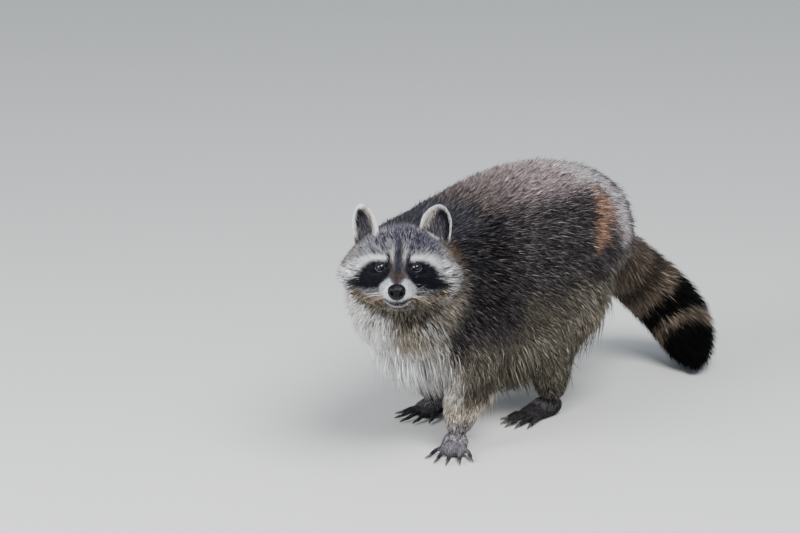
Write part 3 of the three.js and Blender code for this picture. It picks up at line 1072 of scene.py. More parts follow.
    # The mouth, the chin and the cleft of the lip.
    # The dark band below the mouth's line is partly the dark lips and partly painted shadow under the upper
    # lip.
    deep = mix(2.5, 1.7, rise(0, 15, wide))
    lips = rise(deep + 0.7, deep - 0.2, np.abs(high - mouth_level(wide) + deep))
    lay(lips * rise(20, 30, x) * rise(22, 15, wide), mask * 1.5, brown * 0.4, 0.2)
    chin = band([(0, -49), (5, -48.5), (10, -46.2), (15.5, -42)], [0.9, 0.9, 0.75, 0.5], 0.4)
    lay(chin * rise(10, 25, x), white * 0.85, white, 0.9)
    cleft = rise(1.3, 0.6, wide) * rise(-33, -35, high) * rise(-43, -41, high)
    lay(cleft * rise(30, 40, x), mask * 3, mask * 4, 0.1)
    behind = rise(-8, -30, x) * rise(46, 56, wide) * rise(-10, 10, z)
    look.ground = tint(look.ground, brown * 0.8, behind)


def ear_marks(places, palette):
    """White rims, a hollow painted dark as shade with grey hair on its inner side, and dark backs."""
    look = Look(len(places), palette["forehead"], palette["white"], 0.3)
    for ear in EAR_SHAPES.values():
        mine = ear.mine(places)
        up, _, ahead = ear.local(places[mine])
        gap, share = ear.to_edge(places[mine])
        turned = ear.sign < 0  # the right ear, which is seen more from its side
        rim = mix(1.6, 4.2 if turned else 1.0, rise(-0.6, 0.3, share)) * MM
        edge = rise(1.5 * rim, 0.8 * rim, gap) * rise(-0.1, 0.15, up)
        front = rise(-1 * MM, 2 * MM, ahead) * (1 - edge)
        out, high, width, height = (0.35, 0.62, 0.5, 0.36) if turned else (0.4, 0.42, 0.5, 0.46)
        hollow = np.hypot((share - out) / width, (up - high) / height)
        hollow = rise(1.25, 0.75, hollow) * front
        inner = rise(0.2, -0.5, share) * front * (1 - hollow)
        own = Look(mine.sum(), palette["forehead"] * 0.4, palette["back_tips"] * 1.2, 0)
        own.lay(front, palette["back"] * 1.8, palette["under_tips"] * 0.75)
        own.lay(inner, palette["under"] * 1.5, palette["white"] * 0.9)
        # Painted shade: the hollow is near black, and has few pale tips.
        own.lay(hollow, palette["mask"] * 0.25, palette["back_tips"] * 0.12)
        own.lay(edge, palette["white"], palette["white"])
        look.ground[mine] = own.ground
        look.tips[mine] = own.tips
        look.ticks[mine] = mix(mix(0.35, 0.6, inner), 1.0, edge) * (1 - 0.85 * hollow)
    return look


def marks(places, share, on_ears, palette):
    """The look of the coat at each place, from its shares of the regions."""
    near = dict(zip(REGIONS, share.T))
    x, y, z = (places / MM).T
    side = np.abs(y)
    drift, fleck = ripple(places, 0.07, 3), ripple(places, 0.02, 8)
    look = Look(len(places), palette["back"], palette["back_tips"] * 1.1, 0.38)
    lay = look.lay
    # Places are in millimetres, and each layer covers the ones before it.
    back, pale, under, light, white, paw, brown = (
        palette[name] for name in ("back", "back_tips", "under", "under_tips", "white", "paw", "brown"))
    # The back and the flanks, frosted in front of the rump.
    rearward = rise(120, -100, x)
    # Painted shade: the lower flanks are darker.
    lay(rise(200, 130, z) * rise(-40, 60, x), back * 0.8, pale * 0.7, 0.44)
    # The top of the back is lighter: painted light from above, and towards the rump the silvery frosting.
    lay(rise(268, 300, z), mix(back * (1.15, 1.02, 1.0), back * (7.2, 6.6, 6.5), rearward[:, None]),
        mix(pale * (1.05, 0.97, 0.92), pale * (3.7, 3.4, 3.35), rearward[:, None]), 0.55 + 0.15 * rearward)
    rump = rise(-88, -150, x + 20 * drift) * rise(185, 235, z + 12 * drift)
    lay(rump, back * 2.2, pale * 1.6, 0.6)
    frosted = near_line(x + 8 * fleck, z + 6 * drift, [(-110, 300), (-134, 282), (-154, 246), (-160, 206)],
                        [18, 24, 24, 14])
    lay(rise(1.9, 0.25, frosted) * rise(-70, 40, y), back * 12, pale * 5, 0.84)
    lay(rise(-120, -160, x) * rise(205, 190, z), back * 2.2, pale * 1.3, 0.55)
    # The dark mantle, the nape and the collar behind the head.
    mantle = rise(70, 105, x + 0.15 * (z - 230)) * rise(205, 185, x) * rise(140, 170, z) * rise(296, 272, z)
    lay(mantle, palette["mantle"] * 1.2, pale * 0.7, 0.34)
    nape = rise(84, 138, x + 8 * fleck) * rise(258, 284, z)
    lay(nape, back * (1.0, 1.1, 1.15), palette["forehead"] * (1.2, 1.15, 1.0), 0.42)
    collar = near_line(x, z, [(196, 292), (192, 264), (200, 236), (206, 214)], [9, 12, 11, 8])
    collar = rise(1.6, 0.4, collar) * rise(20, 50, side) * rise(286, 268, z)
    lay(collar, brown * 0.3, brown * (1.3, 1.4, 1.5), 0.5)
    # The belly and the legs.
    low = z + 8 * drift + 7 * fleck
    lay(rise(195, 135, low) * rise(95, 60, x) * near["trunk"], under * 0.5, light * 0.5, 0.5)
    lay(rise(150, 90, low) * near["trunk"], under, light * 0.8, 0.45)
    legs = sum(near[f"{kind}leg_{part}_{which}"] for kind, which in LEGS for part in ("upper", "lower"))
    hind = sum(near[f"hindleg_{part}_{which}"] for part in ("upper", "lower") for which in SIDES)
    fore = sum(near[f"foreleg_lower_{which}"] for which in SIDES)
    lay(legs * rise(145, 105, low), under * 0.7, light * 0.7, 0.45)
    lay(hind * rise(210, 145, low), under * 0.85, light * 0.9, 0.4)
    lay(hind * rise(125, 90, z), under * 0.5, light * 0.6, 0.35)
    # The chest with its white bib, the throat and the pale streak down the left shoulder.
    ahead = x + 0.35 * (210 - z)
    chest = near["neck"] * rise(212, 246, ahead) * rise(240, 215, z)
    lay(chest, under * 0.8, light * 0.6, 0.5)
    ruff = near["neck"] * blob((x, 217, 22), (z, 214, 30)) * rise(30, 60, side)
    lay(ruff * 1.4, under * 1.6, light * 1.25, 0.6)
    locks = 0.96 + 0.6 * ripple(places * (1, 1, 0.3), 0.010, 21)
    bib = chest * rise(40, 16, y + 5 * drift + 4 * fleck) * rise(215, 196, z)
    lay(bib * locks, white, white, 0.85)
    beige = chest * blob((y, 50, 17)) * rise(180, 165, z) * rise(100, 130, z)
    lay(beige, under * 1.3, light * 0.9, 0.5)
    beside = near["neck"] * rise(5, -30, y) * rise(262, 222, z + 8 * drift)
    lay(beside * rise(150, 212, ahead + 18 * drift + 12 * fleck), under * 0.9, light * 0.9, 0.6)
    far_side = beside * rise(200, 250, ahead + 12 * drift + 9 * fleck)
    lay(far_side * locks * rise(46, 28, y + 5 * fleck), white, white, 0.88)
    # The throat's brown is darkened further as painted shade under the chin.
    throat = chest * blob((x, 253, 24), (y, 58, 24), (z, 194, 13))
    lay(throat * 2.2, brown * 0.14, brown * 0.65, 0.28)
    streak = near_line(x, z, [(238, 176), (224, 150), (204, 122), (186, 96)], [13, 14, 15, 14])
    streak = rise(1.4, 0.5, streak + 0.3 * fleck) * rise(32, 50, y)
    streak = streak * (near["neck"] + near["trunk"] + near["foreleg_upper_left"])
    lay(streak, under * 0.9, white * 0.85, 0.52)
    lay(streak * rise(160, 138, z), under * 1.7, white * 0.9, 0.62)
    under_chin = near["neck"] * blob((x, 262, 30), (y, 72, 22), (z, 204, 15))
    lay(under_chin * 1.3, brown * 0.25, brown * 1.1, 0.35)
    # Between the forelegs, and down them to the paws.
    brisket = (near["trunk"] + near["neck"]) * rise(128, 152, x) * rise(150, 112, z) * rise(62, 44, side)
    lay(brisket, white * 0.7, white, 0.78)
    inward = rise(82, 60, side)
    lay(fore * inward * rise(45, 70, z), under * 2.0, white, 0.72)
    lay(fore * (1 - inward) * rise(50, 80, z), under * 0.25, light * 0.35, 0.4)
    lay(fore * rise(64, 46, z), under * 1.6, light * 1.6, 0.64)
    wrist = paw * (1.1, 1.05, 1.0), paw * (5.0, 4.8, 4.6), 0.5
    lay(fore * rise(50, 28, z), *wrist)
    paws = sum(near[f"{kind}paw_{which}"] for kind, which in LEGS)
    painted_shade_hind_paws = sum(near[f"hindpaw_{which}"] for which in SIDES)
    lay(paws, paw, paw * 2.2, 0.4)
    lay(near["forepaw_left"], paw * (0.8, 0.82, 0.88), paw * 4.2, 0.42)
    lay(near["forepaw_left"] * rise(22, 36, z), *wrist)
    # Painted shade: the hind paws and the right forepaw are painted far darker than the left forepaw.
    lay(painted_shade_hind_paws, paw * (0.2, 0.18, 0.18), paw * 0.75, 0.35)
    lay(near["forepaw_right"], paw * 0.2, paw * 0.8, 0.3)
    toes = [np.hypot(x - middle[0] / MM, y - middle[1] / MM) for middle in map(centre, PAWS)]
    lay(paws * rise(12, 27, np.min(toes, axis=0)), paw * 0.2, paw * 0.9, 0.25)
    # The rust-coloured patch on the left of the rump.
    stops = [(-132, 266), (-117, 254), (-96, 238), (-77, 220), (-66, 204)]
    rust = near_line(x + 7 * drift, z + 6 * ripple(places, 0.025, 12), stops, [11, 16, 12, 5, 2])
    patchy = np.maximum(1 + 0.4 * ripple(places, 0.009, 15), 0.6)
    rust_edge = rise(1.5, 1.2, rust) * (y > 0) * rise(-0.2, 0.5, fleck) * rise(-112, -126, x)
    lay(rust_edge, back * 0.7, back * 2, 0.3)
    rust = rise(1.35, 0.45, rust * patchy) * (y > 0)
    lay(rust, palette["rust"] * (1.25, 1.2, 1.1), palette["rust"] * 2.4, 0.5)
    # The tail.
    tail = near["tail"]
    way = along_tail(places)[0]
    rings = tail_rings(way + 0.006 * ripple(places, 0.012, 9))
    lay(tail, palette["ring_pale"] * 0.8, palette["ring_pale"] * 3.0, 0.35)
    lay(tail * rise(0.16, 0.02, way), back * 1.6, pale, 0.5)
    lay(tail * rings, palette["ring_dark"], palette["ring_dark"] * 2, 0.1)
    # The head, with the face and the ears.
    local = HEAD.local(places)
    head = rise(0.35, 0.65, near["head"] + 0.35 * near["neck"] * rise(-60, -35, local[:, 0]))
    face = Look(len(places), palette["forehead"], palette["back_tips"] * 1.3, 0.5)
    behind = rise(-20, -60, local[:, 0]) * rise(-30, 0, local[:, 2])
    face.lay(behind, palette["mantle"] * 1.6, palette["back_tips"])
    face.lay(rise(-14, -34, local[:, 2]), under * 0.4, light * 0.5)
    face_marks(places, palette, face)
    lay(head, face.ground, face.tips, face.ticks)
    if np.any(on_ears):
        ears = ear_marks(places, palette)
        lay(on_ears, ears.ground, ears.tips, ears.ticks)
    return look


RINGS = [(0.17, 0.215, 0.35), (0.305, 0.41, 0.62), (0.525, 0.728, 1.0), (0.815, 2.0, 1.0)]
RING_EDGE = 0.010  # half of the width over which a ring fades, as a share of the tail's length


def tail_rings(way):
    """How dark the tail's rings are, by the share of its length: start, end and strength of each."""
    dark = np.zeros_like(way)
    for start, end, strength in RINGS:
        ring = rise(start - RING_EDGE, start + RING_EDGE, way) * rise(end + RING_EDGE, end - RING_EDGE, way)
        dark = np.maximum(dark, ring * strength)
    return dark


# ---------------------------------------------------------------- the coat


class Hide:
    """What the skin knows at each of its points: where its hair ends, lies and how it grows."""

    def __init__(self):
        mesh = bpy.data.objects["skin"].data
        self.places = points_of(mesh)
        self.corners = triangles_of(mesh)
        self.normals = point_normals(self.places, self.corners)
        self.outer = recall(mesh, "outer")
        self.flow = recall(mesh, "flow")
        self.on_ears = recall(mesh, "near_ear")
        self.bare = recall(mesh, "near_rim")
        self.share = np.stack([recall(mesh, "near_" + region) for region in REGIONS], axis=1)
        self.tips_tree = BVHTree.FromPolygons(self.outer.tolist(), self.corners.tolist())
        self.outer_normals = point_normals(self.outer, self.corners)
        self.length, self.width, self.spacing = hair_sizes(self.outer, self.share, self.on_ears)
        self.bare = np.maximum(self.bare, no_hair(self.places))
        x, y, z = HEAD.local(self.outer).T
        # Loose hair stands out from the cheeks, the crown, the ruff, the back and the wrists.
        cheek = rise(40, 62, np.abs(y)) * rise(14, -14, z) * rise(-60, -40, z) * rise(-60, -40, x)
        crown = rise(44, 30, np.abs(y)) * rise(30, 42, z) * rise(6, -8, x)
        x, y, z = (self.outer / MM).T
        ruff = rise(5, -22, y) * rise(215, 245, x) * rise(150, 180, z) * rise(262, 235, z)
        self.fluff = 9 * MM * (cheek * self.near("head") + ruff * self.near("neck"))
        self.fluff += 7 * MM * crown * self.near("head")
        self.fluff += 4 * MM * rise(190, 270, z) * self.near("trunk")
        wrist = rise(60, 46, z) * rise(27, 35, z)
        self.fluff += 4 * MM * wrist * self.near(*PAWS, *LIMBS["fore"], *LIMBS["hind"])

    def near(self, *regions):
        """How much each point belongs to any of the regions."""
        return sum(self.share[:, REGIONS.index(region)] for region in regions)


def no_hair(places):
    """1 where nothing grows: the lids' openings, the nose, the lips and the soles."""
    bare = rise(5 * MM, 2.5 * MM, places[:, 2]) * (places[:, 0] > -0.2)
    for side in SIDES:
        offset, ahead, gap = from_eye(places, side)
        near = (np.linalg.norm(offset, axis=1) < 1.5 * eye_radius()) & (ahead > 0)
        bare = np.maximum(bare, np.where(near, gap < 1.07, 0))
    local = HEAD.local(places)
    x, wide = local[:, 0], np.abs(local[:, 1])
    lips = np.abs(local[:, 2] - FACE_SLOPE * x - mouth_level(wide) + 0.3)
    bare = np.maximum(bare, (lips < 1.1) & (x > 27) & (wide < 15))
    gap = (local - HEAD.local(centre("nose"))) / np.array([9, 9.6, 8.2])
    return np.maximum(bare, np.linalg.norm(gap, axis=1) < 1)


BACK_GAP = 2.15  # the gap between tufts on the back that the other gaps are given beside


def hair_sizes(places, share, on_ears):
    """The length, width and spacing of the tufts at each place, in metres."""
    sizes = settings("raccoon_coat")
    near = dict(zip(REGIONS, share.T))
    x, y, z = HEAD.local(places).T
    wide = np.abs(y)
    height = places[:, 2] / MM
    # Lengths: the trunk and tail, the legs and paws, then the head and the ears.
    length = np.full(len(places), sizes.back_length)
    length = mix(length, sizes.belly_length, rise(170, 100, height) * (near["trunk"] + near["neck"]))
    length = mix(length, sizes.back_length * 0.85, near["neck"] * rise(220, 260, height))
    length = mix(length, sizes.tail_length, near["tail"])
    upper = sum(near[f"{kind}leg_upper_{side}"] for kind, side in LEGS)
    lower = sum(near[f"{kind}leg_lower_{side}"] for kind, side in LEGS)
    paws = sum(near[f"{kind}paw_{side}"] for kind, side in LEGS)
    length = mix(length, 0.030, upper)
    length = mix(length, 0.009 + 0.018 * rise(26, 95, height), lower)
    length = mix(length, 0.0045 + 0.0055 * rise(16, 36, height), paws)
    face = sizes.face_length
    head = 0.019 - 0.009 * rise(-40, -4, x)
    head = mix(head, face, rise(52, 36, wide) * rise(-4, 16, x))
    head = mix(head, face * 0.62, rise(22, 40, x) * rise(30, 22, wide))
    head = mix(head, 0.032, rise(42, 56, wide) * rise(8, -14, z))
    head = mix(head, 0.020, rise(-42, -52, z) * rise(0, -20, x))
    length = mix(length, head, near["head"])
    length = mix(length, 0.0055, on_ears)
    for ear in EAR_SHAPES.values():
        mine = ear.mine(places) & (on_ears > 0.5)
        up, _, ahead = ear.local(places[mine])
        gap, share = ear.to_edge(places[mine])
        inner = rise(0.3, -0.3, share) * rise(0, 2 * MM, ahead) * rise(0.75, 0.4, up)
        length[mine] = mix(0.0038, 0.0055, rise(1 * MM, 4 * MM, gap)) + 0.006 * inner
    width = (0.0005 + 0.0009 * rise(0.002, 0.028, length)) * (1 - 0.3 * near["head"])
    # Gaps between tufts.
    gaps = np.full(len(places), BACK_GAP)
    for gap, where in ((2.2, upper), (1.75, lower), (1.75, near["tail"]), (1.2, paws)):
        gaps = mix(gaps, gap, where)
    gaps = mix(gaps, 0.75 + 0.85 * rise(0.006, 0.020, head) - 0.12 * rise(22, 40, x), near["head"])
    gaps = mix(gaps, 1.0, on_ears)
    return length, width, gaps * MM * sizes.spacing / (BACK_GAP * MM)


LIMBS = {kind: [f"{kind}leg_{part}_{side}" for part in ("upper", "lower") for side in SIDES]
         for kind in ("fore", "hind")}
PARTS = {
    "neck": ("body_coat", ["neck"], -1, 1, 0.55, 0.08),
    "shoulders": ("body_coat", ["trunk"], 0.055, 1, 0.3, 0.04),
    "flanks": ("body_coat", ["trunk"], -0.065, 0.055, 0.3, 0.04),
    "loins": ("body_coat", ["trunk"], -0.155, -0.065, 0.3, 0.04),
    "rump": ("body_coat", ["trunk"], -1, -0.155, 0.4, 0.06),
    "forelegs": ("body_coat", LIMBS["fore"], -1, 1, 0.65, 0.12),
    "hindlegs": ("body_coat", LIMBS["hind"], -1, 1, 0.75, 0.14),
    "tail": ("tail_coat", ["tail"], -1, 1, 0.3, 0.24),
    "head": ("head_coat", ["head"], -1, 1, 0.35, 0.05),
}  # slot, regions, rear and front ends, how far the hair gathers in locks, share of loose hairs
LAYERS = {
    "under": {"bend_at": 0.6, "apart": 1.45, "broad": 1.2, "ticking": 0.5, "reach": (-0.26, 0.0)},
    "guard": {"bend_at": 0.62, "apart": 0.86, "broad": 0.56, "ticking": 1.1, "reach": (-0.14, 0.08)},
}
LOCK_SIZE = 9 * MM  # the distance over which a lock's leader draws its tufts
BRIGHTEST = 0.95  # no hair is lighter than this
LOCKS = {"bend_at": 0.5, "apart": 2.6, "broad": 1.0, "ticking": 0.5, "free": 1.0, "longer": 1.15}


def scattered(hide, wanted, seed, apart):
    """Roots spread over the skin where wanted is high, as triangles and shares of their corners."""
    corners = hide.corners
    a, b, c = (hide.outer[corners[:, k]] for k in range(3))
    area = np.linalg.norm(np.cross(b - a, c - a), axis=1) / 2
    share = area / (apart * hide.spacing[corners].mean(1)) ** 2 * wanted[corners].mean(1)
    rng = np.random.default_rng(seed)
    total = np.cumsum(share)
    count = int(total[-1])
    picked = np.searchsorted(total, np.arange(count) + rng.random(count))
    picked = np.minimum(picked, len(corners) - 1)
    first, second = rng.random((2, len(picked)))
    over = first + second > 1
    first, second = np.where(over, 1 - first, first), np.where(over, 1 - second, second)
    return corners[picked], np.stack([1 - first - second, first, second], axis=1)


def grown(hide, wanted, seed, kind, clump=0.4, stand=0.0, wisps=0.05, apart=1.0, broad=1.0,
          ticking=1.0, reach=(-0.16, 0.07), bend_at=0.6, free=0.0, longer=1.0, lock=23, alike=0.0):
    """Tufts over part of the skin: where each starts, bends and ends, its width and its colours.

    Every lock-th tuft leads a lock, whose tips come together by clump and whose brightness is
    alike by alike. wisps is the share of loose hairs, reach how far tips end in or out of the
    outline as shares of the coat's depth, stand how far they stand off it, and free the share
    by which hair hangs instead of lying along it. apart, broad, longer and ticking scale the
    gaps, the widths, the lengths and the number of pale tips.
    """
    corners, weights = scattered(hide, wanted, seed, apart)

    def at(values):
        """Values of the skin's points at the roots."""
        if values.ndim == 1:
            return (values[corners] * weights).sum(1)
        return (values[corners] * weights[:, :, None]).sum(1)

    rng = np.random.default_rng(seed + 1000)
    count = len(corners)
    root, up = at(hide.places), unit(at(hide.normals))
    outer, flow = at(hide.outer), unit(at(hide.flow))
    length = at(hide.length) * longer * rng.uniform(0.75, 1.2, count)
    side = np.cross(up, flow)
    flow = unit(flow + side * rng.normal(0, 0.21, (count, 1)))
    depth = np.linalg.norm(outer - root, axis=1)
    ahead = np.sqrt(np.maximum(length ** 2 - depth ** 2, (0.45 * length) ** 2))
    # The tips, on the outline ahead of the root or a little in or out of it.
    target = outer + flow * ahead[:, None]
    tip, lifted = np.empty_like(root), np.empty_like(root)
    for k in range(count):
        spot, normal, _, _ = hide.tips_tree.find_nearest(Vector(target[k]))
        tip[k], lifted[k] = spot, normal
    loose = rng.random(count) < wisps
    slack = np.maximum(depth, 1.2 * MM)
    rise_by = np.where(loose, rng.uniform(0.05, 0.3, count), rng.uniform(*reach, count)) * slack
    rise_by += at(hide.fluff) * rng.uniform(0, 1, count)
    tip += lifted * (rise_by + stand)[:, None]
    tip = tip + flow * (np.where(loose, rng.uniform(0.05, 0.3, count), 0) * length)[:, None]
    # Tips gather in locks.
    luck = rng.random(count)
    if clump:
        leaders = np.arange(0, count, lock)
        tree = KDTree(len(leaders))
        for k in leaders:
            tree.insert(Vector(root[k]), int(k))
        tree.balance()
        lead = np.array([tree.find(Vector(spot))[1] for spot in root])
        pull = tip[lead] - tip
        pull -= flow * (pull * flow).sum(1, keepdims=True) * 0.6
        near = np.exp(-(np.linalg.norm(root[lead] - root, axis=1) / LOCK_SIZE) ** 2)
        tip += pull * (clump * near * rng.uniform(0.5, 1, count))[:, None]
        flock = np.exp(rng.normal(0, 0.16 + 0.2 * alike, count))[lead]
        luck = np.where(rng.random(count) < alike, luck[lead], luck)
    else:
        flock = np.ones(count)
    if free:
        hanging = unit(flow * 0.6 + up * rng.uniform(0.15, 0.5, (count, 1)) + np.array([0, 0, -0.8]))
        tip = mix(tip, root + hanging * (length + depth)[:, None], free)
    tip[:, 2] = np.maximum(tip[:, 2], 0.4 * MM)  # nothing goes through the floor
    # The bend and the width.
    line = tip - root
    span = np.linalg.norm(line, axis=1)
    middle = root + line * bend_at + up * (0.12 * span)[:, None]
    middle[:, 2] = np.maximum(middle[:, 2], 0.8 * MM)
    width = at(hide.width) * broad * rng.uniform(0.75, 1.3, count)
    # Colours are taken near the tip, now and then from further off, so that markings have no edge.
    shown = root * 0.2 + tip * 0.8
    astray = np.where(rng.random(count) < 0.12, 3.0, 1.0) * (0.6 * MM + 0.04 * length)
    shown = shown + rng.normal(0, 1, (count, 3)) * astray[:, None]
    look = marks(shown, at(hide.share), at(hide.on_ears), colours())
    bright = rise(0.3, 0.75, look.ground.mean(1))
    own = (flock * np.exp(rng.normal(0, 0.28, count) * (1 - 0.4 * bright)))[:, None]
    pale = (luck < look.ticks * ticking)[:, None]
    ground = look.ground * own
    light = look.tips * np.exp(rng.normal(0, 0.2, (count, 1)))
    banded = pale & (rng.random((count, 1)) < 0.5)
    # Painted shade deep in the coat: each tuft's root is darker, less so for pale hair.
    low = ground * mix(0.4, 0.8, bright)[:, None]
    bend = np.where(pale, ground * 0.7 + light * 0.3, ground * 0.85)
    bend = np.where(banded, light * 0.8 + ground * 0.2, bend)
    end = np.where(pale, light, ground * 1.05)
    end = np.where(banded, ground * 0.8 + light * 0.2, end)
    return {"kind": kind, "root": root, "middle": middle, "tip": tip, "up": up, "width": width,
            "colours": [np.minimum(part, BRIGHTEST) for part in (low, bend, end)]}


BAKE_PATCH = (0.0014, 0.003)  # half of a tuft's width and its length on the unwrapped skin


def tuft_mesh(name, tufts, spots):
    """A mesh of separate pointed tufts; spots are their places on the unwrapped skin."""
    root, middle, tip, up, width = (tufts[key] for key in ("root", "middle", "tip", "up", "width"))
    # low is the root's colour, darkened as painted shade deep in the coat.
    low, bend, end = tufts["colours"]
    across = unit(np.cross(up, tip - root))
    half = across * (width / 2)[:, None]
    thick = up * (width * 0.35)[:, None]
    base = [root - half * 0.7, root + thick * 0.5, root + half * 0.7]
    bent = [middle - half, middle + thick, middle + half]
    if tufts["kind"] == "curved":
        points, shades = [root] + bent + [tip], [low] + [bend] * 3 + [end]
        steps = [0, 0.6, 0.6, 0.6, 1]
        faces = [(1, 4, 2), (2, 4, 3), (1, 3, 4), (1, 2, 0), (2, 3, 0), (3, 1, 0)]
        sideways = [0, -1, 0, 1, 0]
    else:
        points, shades = base + [tip], [mix(low, bend, 0.7)] * 3 + [end]
        steps = [0, 0, 0, 1]
        faces = [(0, 3, 1), (1, 3, 2), (0, 2, 3), (0, 1, 2)]
        sideways = [-1, 0, 1, 0]
    verts = np.stack(points, axis=1).reshape(-1, 3)
    start = np.arange(len(root))[:, None, None] * len(points)
    made = mesh_from(name, verts, (np.array(faces)[None] + start).reshape(-1, 3))
    store(made, "Coat", np.clip(np.stack(shades, axis=1).reshape(-1, 3), 0, 1), "FLOAT_COLOR")
    patch = np.stack([sideways, steps], axis=1) * BAKE_PATCH
    spread = (spots[:, None] + patch[None]).reshape(-1, 2)
    corners = np.empty(len(made.loops), np.int32)
    made.loops.foreach_get("vertex_index", corners)
    layer = made.uv_layers.new(name="OFBake")
    layer.data.foreach_set("uv", spread[corners].astype(np.float32).ravel())
    return made


def unwrapped(places, origin, axis, slope=0.0):
    """Places round an axis laid out flat: the turn round it, and the way along it and in to it."""
    axis = unit(np.asarray(axis, float))
    side = unit(np.cross(axis, (0.3, 0.9, 0.1)))
    other = np.cross(axis, side)
    offset = places - origin
    turn = np.arctan2(offset @ side, offset @ other) / (2 * math.pi) + 0.5
    along = offset @ axis + slope * np.hypot(offset @ side, offset @ other)
    along = (along - along.min()) / max(np.ptp(along), 1e-6)
    return np.stack([turn, along], axis=1) * 0.96 + 0.018


def tiles(places, parts):
    """Several unwrapped parts side by side; parts are masks with an origin and an axis."""
    spots = np.zeros((len(places), 2))
    for k, (mine, origin, axis) in enumerate(parts):
        if mine.any():
            spots[mine] = unwrapped(places[mine], origin, axis) * (1 / len(parts), 1) + (k / len(parts), 0)
    return spots


def skin_spots(name, places):
    """The roots' places on the skin laid out flat, piece by piece."""
    if "tail" in name:
        way, ahead = along_tail(places)
        offset = places - TAIL_PATH[nearest_on_tail(places)]
        side = unit(np.cross(ahead, (0, 0, 1)))
        turn = np.arctan2((offset * side).sum(1), (offset * np.cross(side, ahead)).sum(1))
        turn = turn / (2 * math.pi) + 0.5
        return np.clip(np.stack([turn, way], axis=1), 0, 1) * 0.95 + 0.02
    if "head" in name or "face" in name:
        return unwrapped(places, HEAD.world([[-25, 0, -10]])[0], HEAD.axes[0], -0.9)
    if name == "coat_ears":
        return tiles(places, [(ear.mine(places), ear.root, ear.along) for ear in EAR_SHAPES.values()])
    if "legs" in name or "paws" in name:
        kinds = [kind for kind in ("fore", "hind") if f"{kind}legs" in name or "paws" in name]
        legs = [(kind, side) for kind, side in LEGS if kind in kinds]
        middles = np.array([centre(f"{kind}paw_{side}") for kind, side in legs])
        middles[:, 2] = 0.05
        gaps = np.linalg.norm((places[:, None] - middles[None]) * (1, 1, 0.35), axis=2)
        axis = (1, 0, 0) if "paws" in name else (0, 0, 1)
        return tiles(places, [(gaps.argmin(1) == k, middles[k], axis) for k in range(len(legs))])
    slope = -0.7 if "neck" in name or "shoulders" in name else 0.7 if "rump" in name else 0
    return unwrapped(places, np.array([0, 0, 0.19]), (1, 0, 0), slope)


def add_coat(name, slot, hide, wanted, seed, kind, **habit):
    """A piece of the coat; kind is curved or straight, and habit goes to grown."""
    tufts = grown(hide, wanted * (1 - hide.bare), seed, kind, **habit)
    mesh = tuft_mesh(name, tufts, skin_spots(name, tufts["root"]))
    paint = bpy.data.materials.get("raccoon_coat") or coat_paint()
    return add_piece(name, mesh, paint)


def facial(hide):
    """Which points of the skin belong to the short-haired face."""
    x, y, z = HEAD.local(hide.outer).T
    return hide.near("head") * rise(56, 46, np.abs(y)) * rise(-12, 0, x) * rise(-52, -44, z) > 0.5


class RACCOON_OT_body_coat(bpy.types.Operator):
    """The long hair of the neck, trunk and legs, and the short hair of the paws"""

    bl_idname = "raccoon.body_coat"
    bl_label = "Body coat"

    def execute(self, context):
        hide = Hide()
        regions = hide.share.argmax(1)
        off_ears = hide.on_ears < 0.5
        paws = np.isin(regions, [REGIONS.index(name) for name in PAWS]) & off_ears
        for seed, (part, (slot, names, rear, front, clump, wisps)) in enumerate(PARTS.items()):
            mine = np.isin(regions, [REGIONS.index(name) for name in names]) & off_ears
            mine &= (hide.places[:, 0] > rear) & (hide.places[:, 0] <= front)
            if part == "head":
                mine &= ~facial(hide)
            wanted = mine.astype(float)
            if names in LIMBS.values():
                wanted = np.maximum(wanted, paws * rise(0.02, 0.5, hide.near(*names)))
            for layer, habit in LAYERS.items():
                add_coat(f"coat_{part}_{layer}", slot, hide, wanted, seed + 50 * (layer == "guard"),
                         "curved", clump=clump, wisps=wisps, **habit)
        low = rise(0.045, 0.07, hide.places[:, 2]) * rise(0.19, 0.14, hide.places[:, 2])
        low *= np.maximum(rise(0.0, -0.7, hide.normals[:, 0]), rise(-0.2, -0.8, hide.normals[:, 2]))
        low *= ~np.isin(regions, [REGIONS.index("head"), REGIONS.index("tail")]) & off_ears
        add_coat("coat_locks", "body_coat", hide, low, 45, "curved", clump=0.9, **LOCKS)
        wanted = np.maximum(paws, rise(0.01, 0.4, hide.near(*PAWS)) * off_ears)
        add_coat("coat_paws", "paw", hide, wanted, 40, "straight", clump=0.2, lock=5, alike=0.5,
                 stand=0.0005)
        return {"FINISHED"}


class RACCOON_OT_face_coat(bpy.types.Operator):
    """The short hair of the face and the ears"""

    bl_idname = "raccoon.face_coat"
    bl_label = "Face coat"

    def execute(self, context):
        hide = Hide()
        face = facial(hide) & (hide.on_ears < 0.5)
        face &= hide.share.argmax(1) == REGIONS.index("head")
        add_coat("coat_face", "head_coat", hide, face.astype(float), 41, "straight", clump=0.35,
                 wisps=0, lock=6, alike=0.6)
        ears = (hide.on_ears > 0.5).astype(float)
        add_coat("coat_ears", "head_coat", hide, ears, 42, "straight", clump=0, wisps=0, stand=0.0012)
        return {"FINISHED"}


# ---------------------------------------------------------------- eyes, nose, claws and whiskers


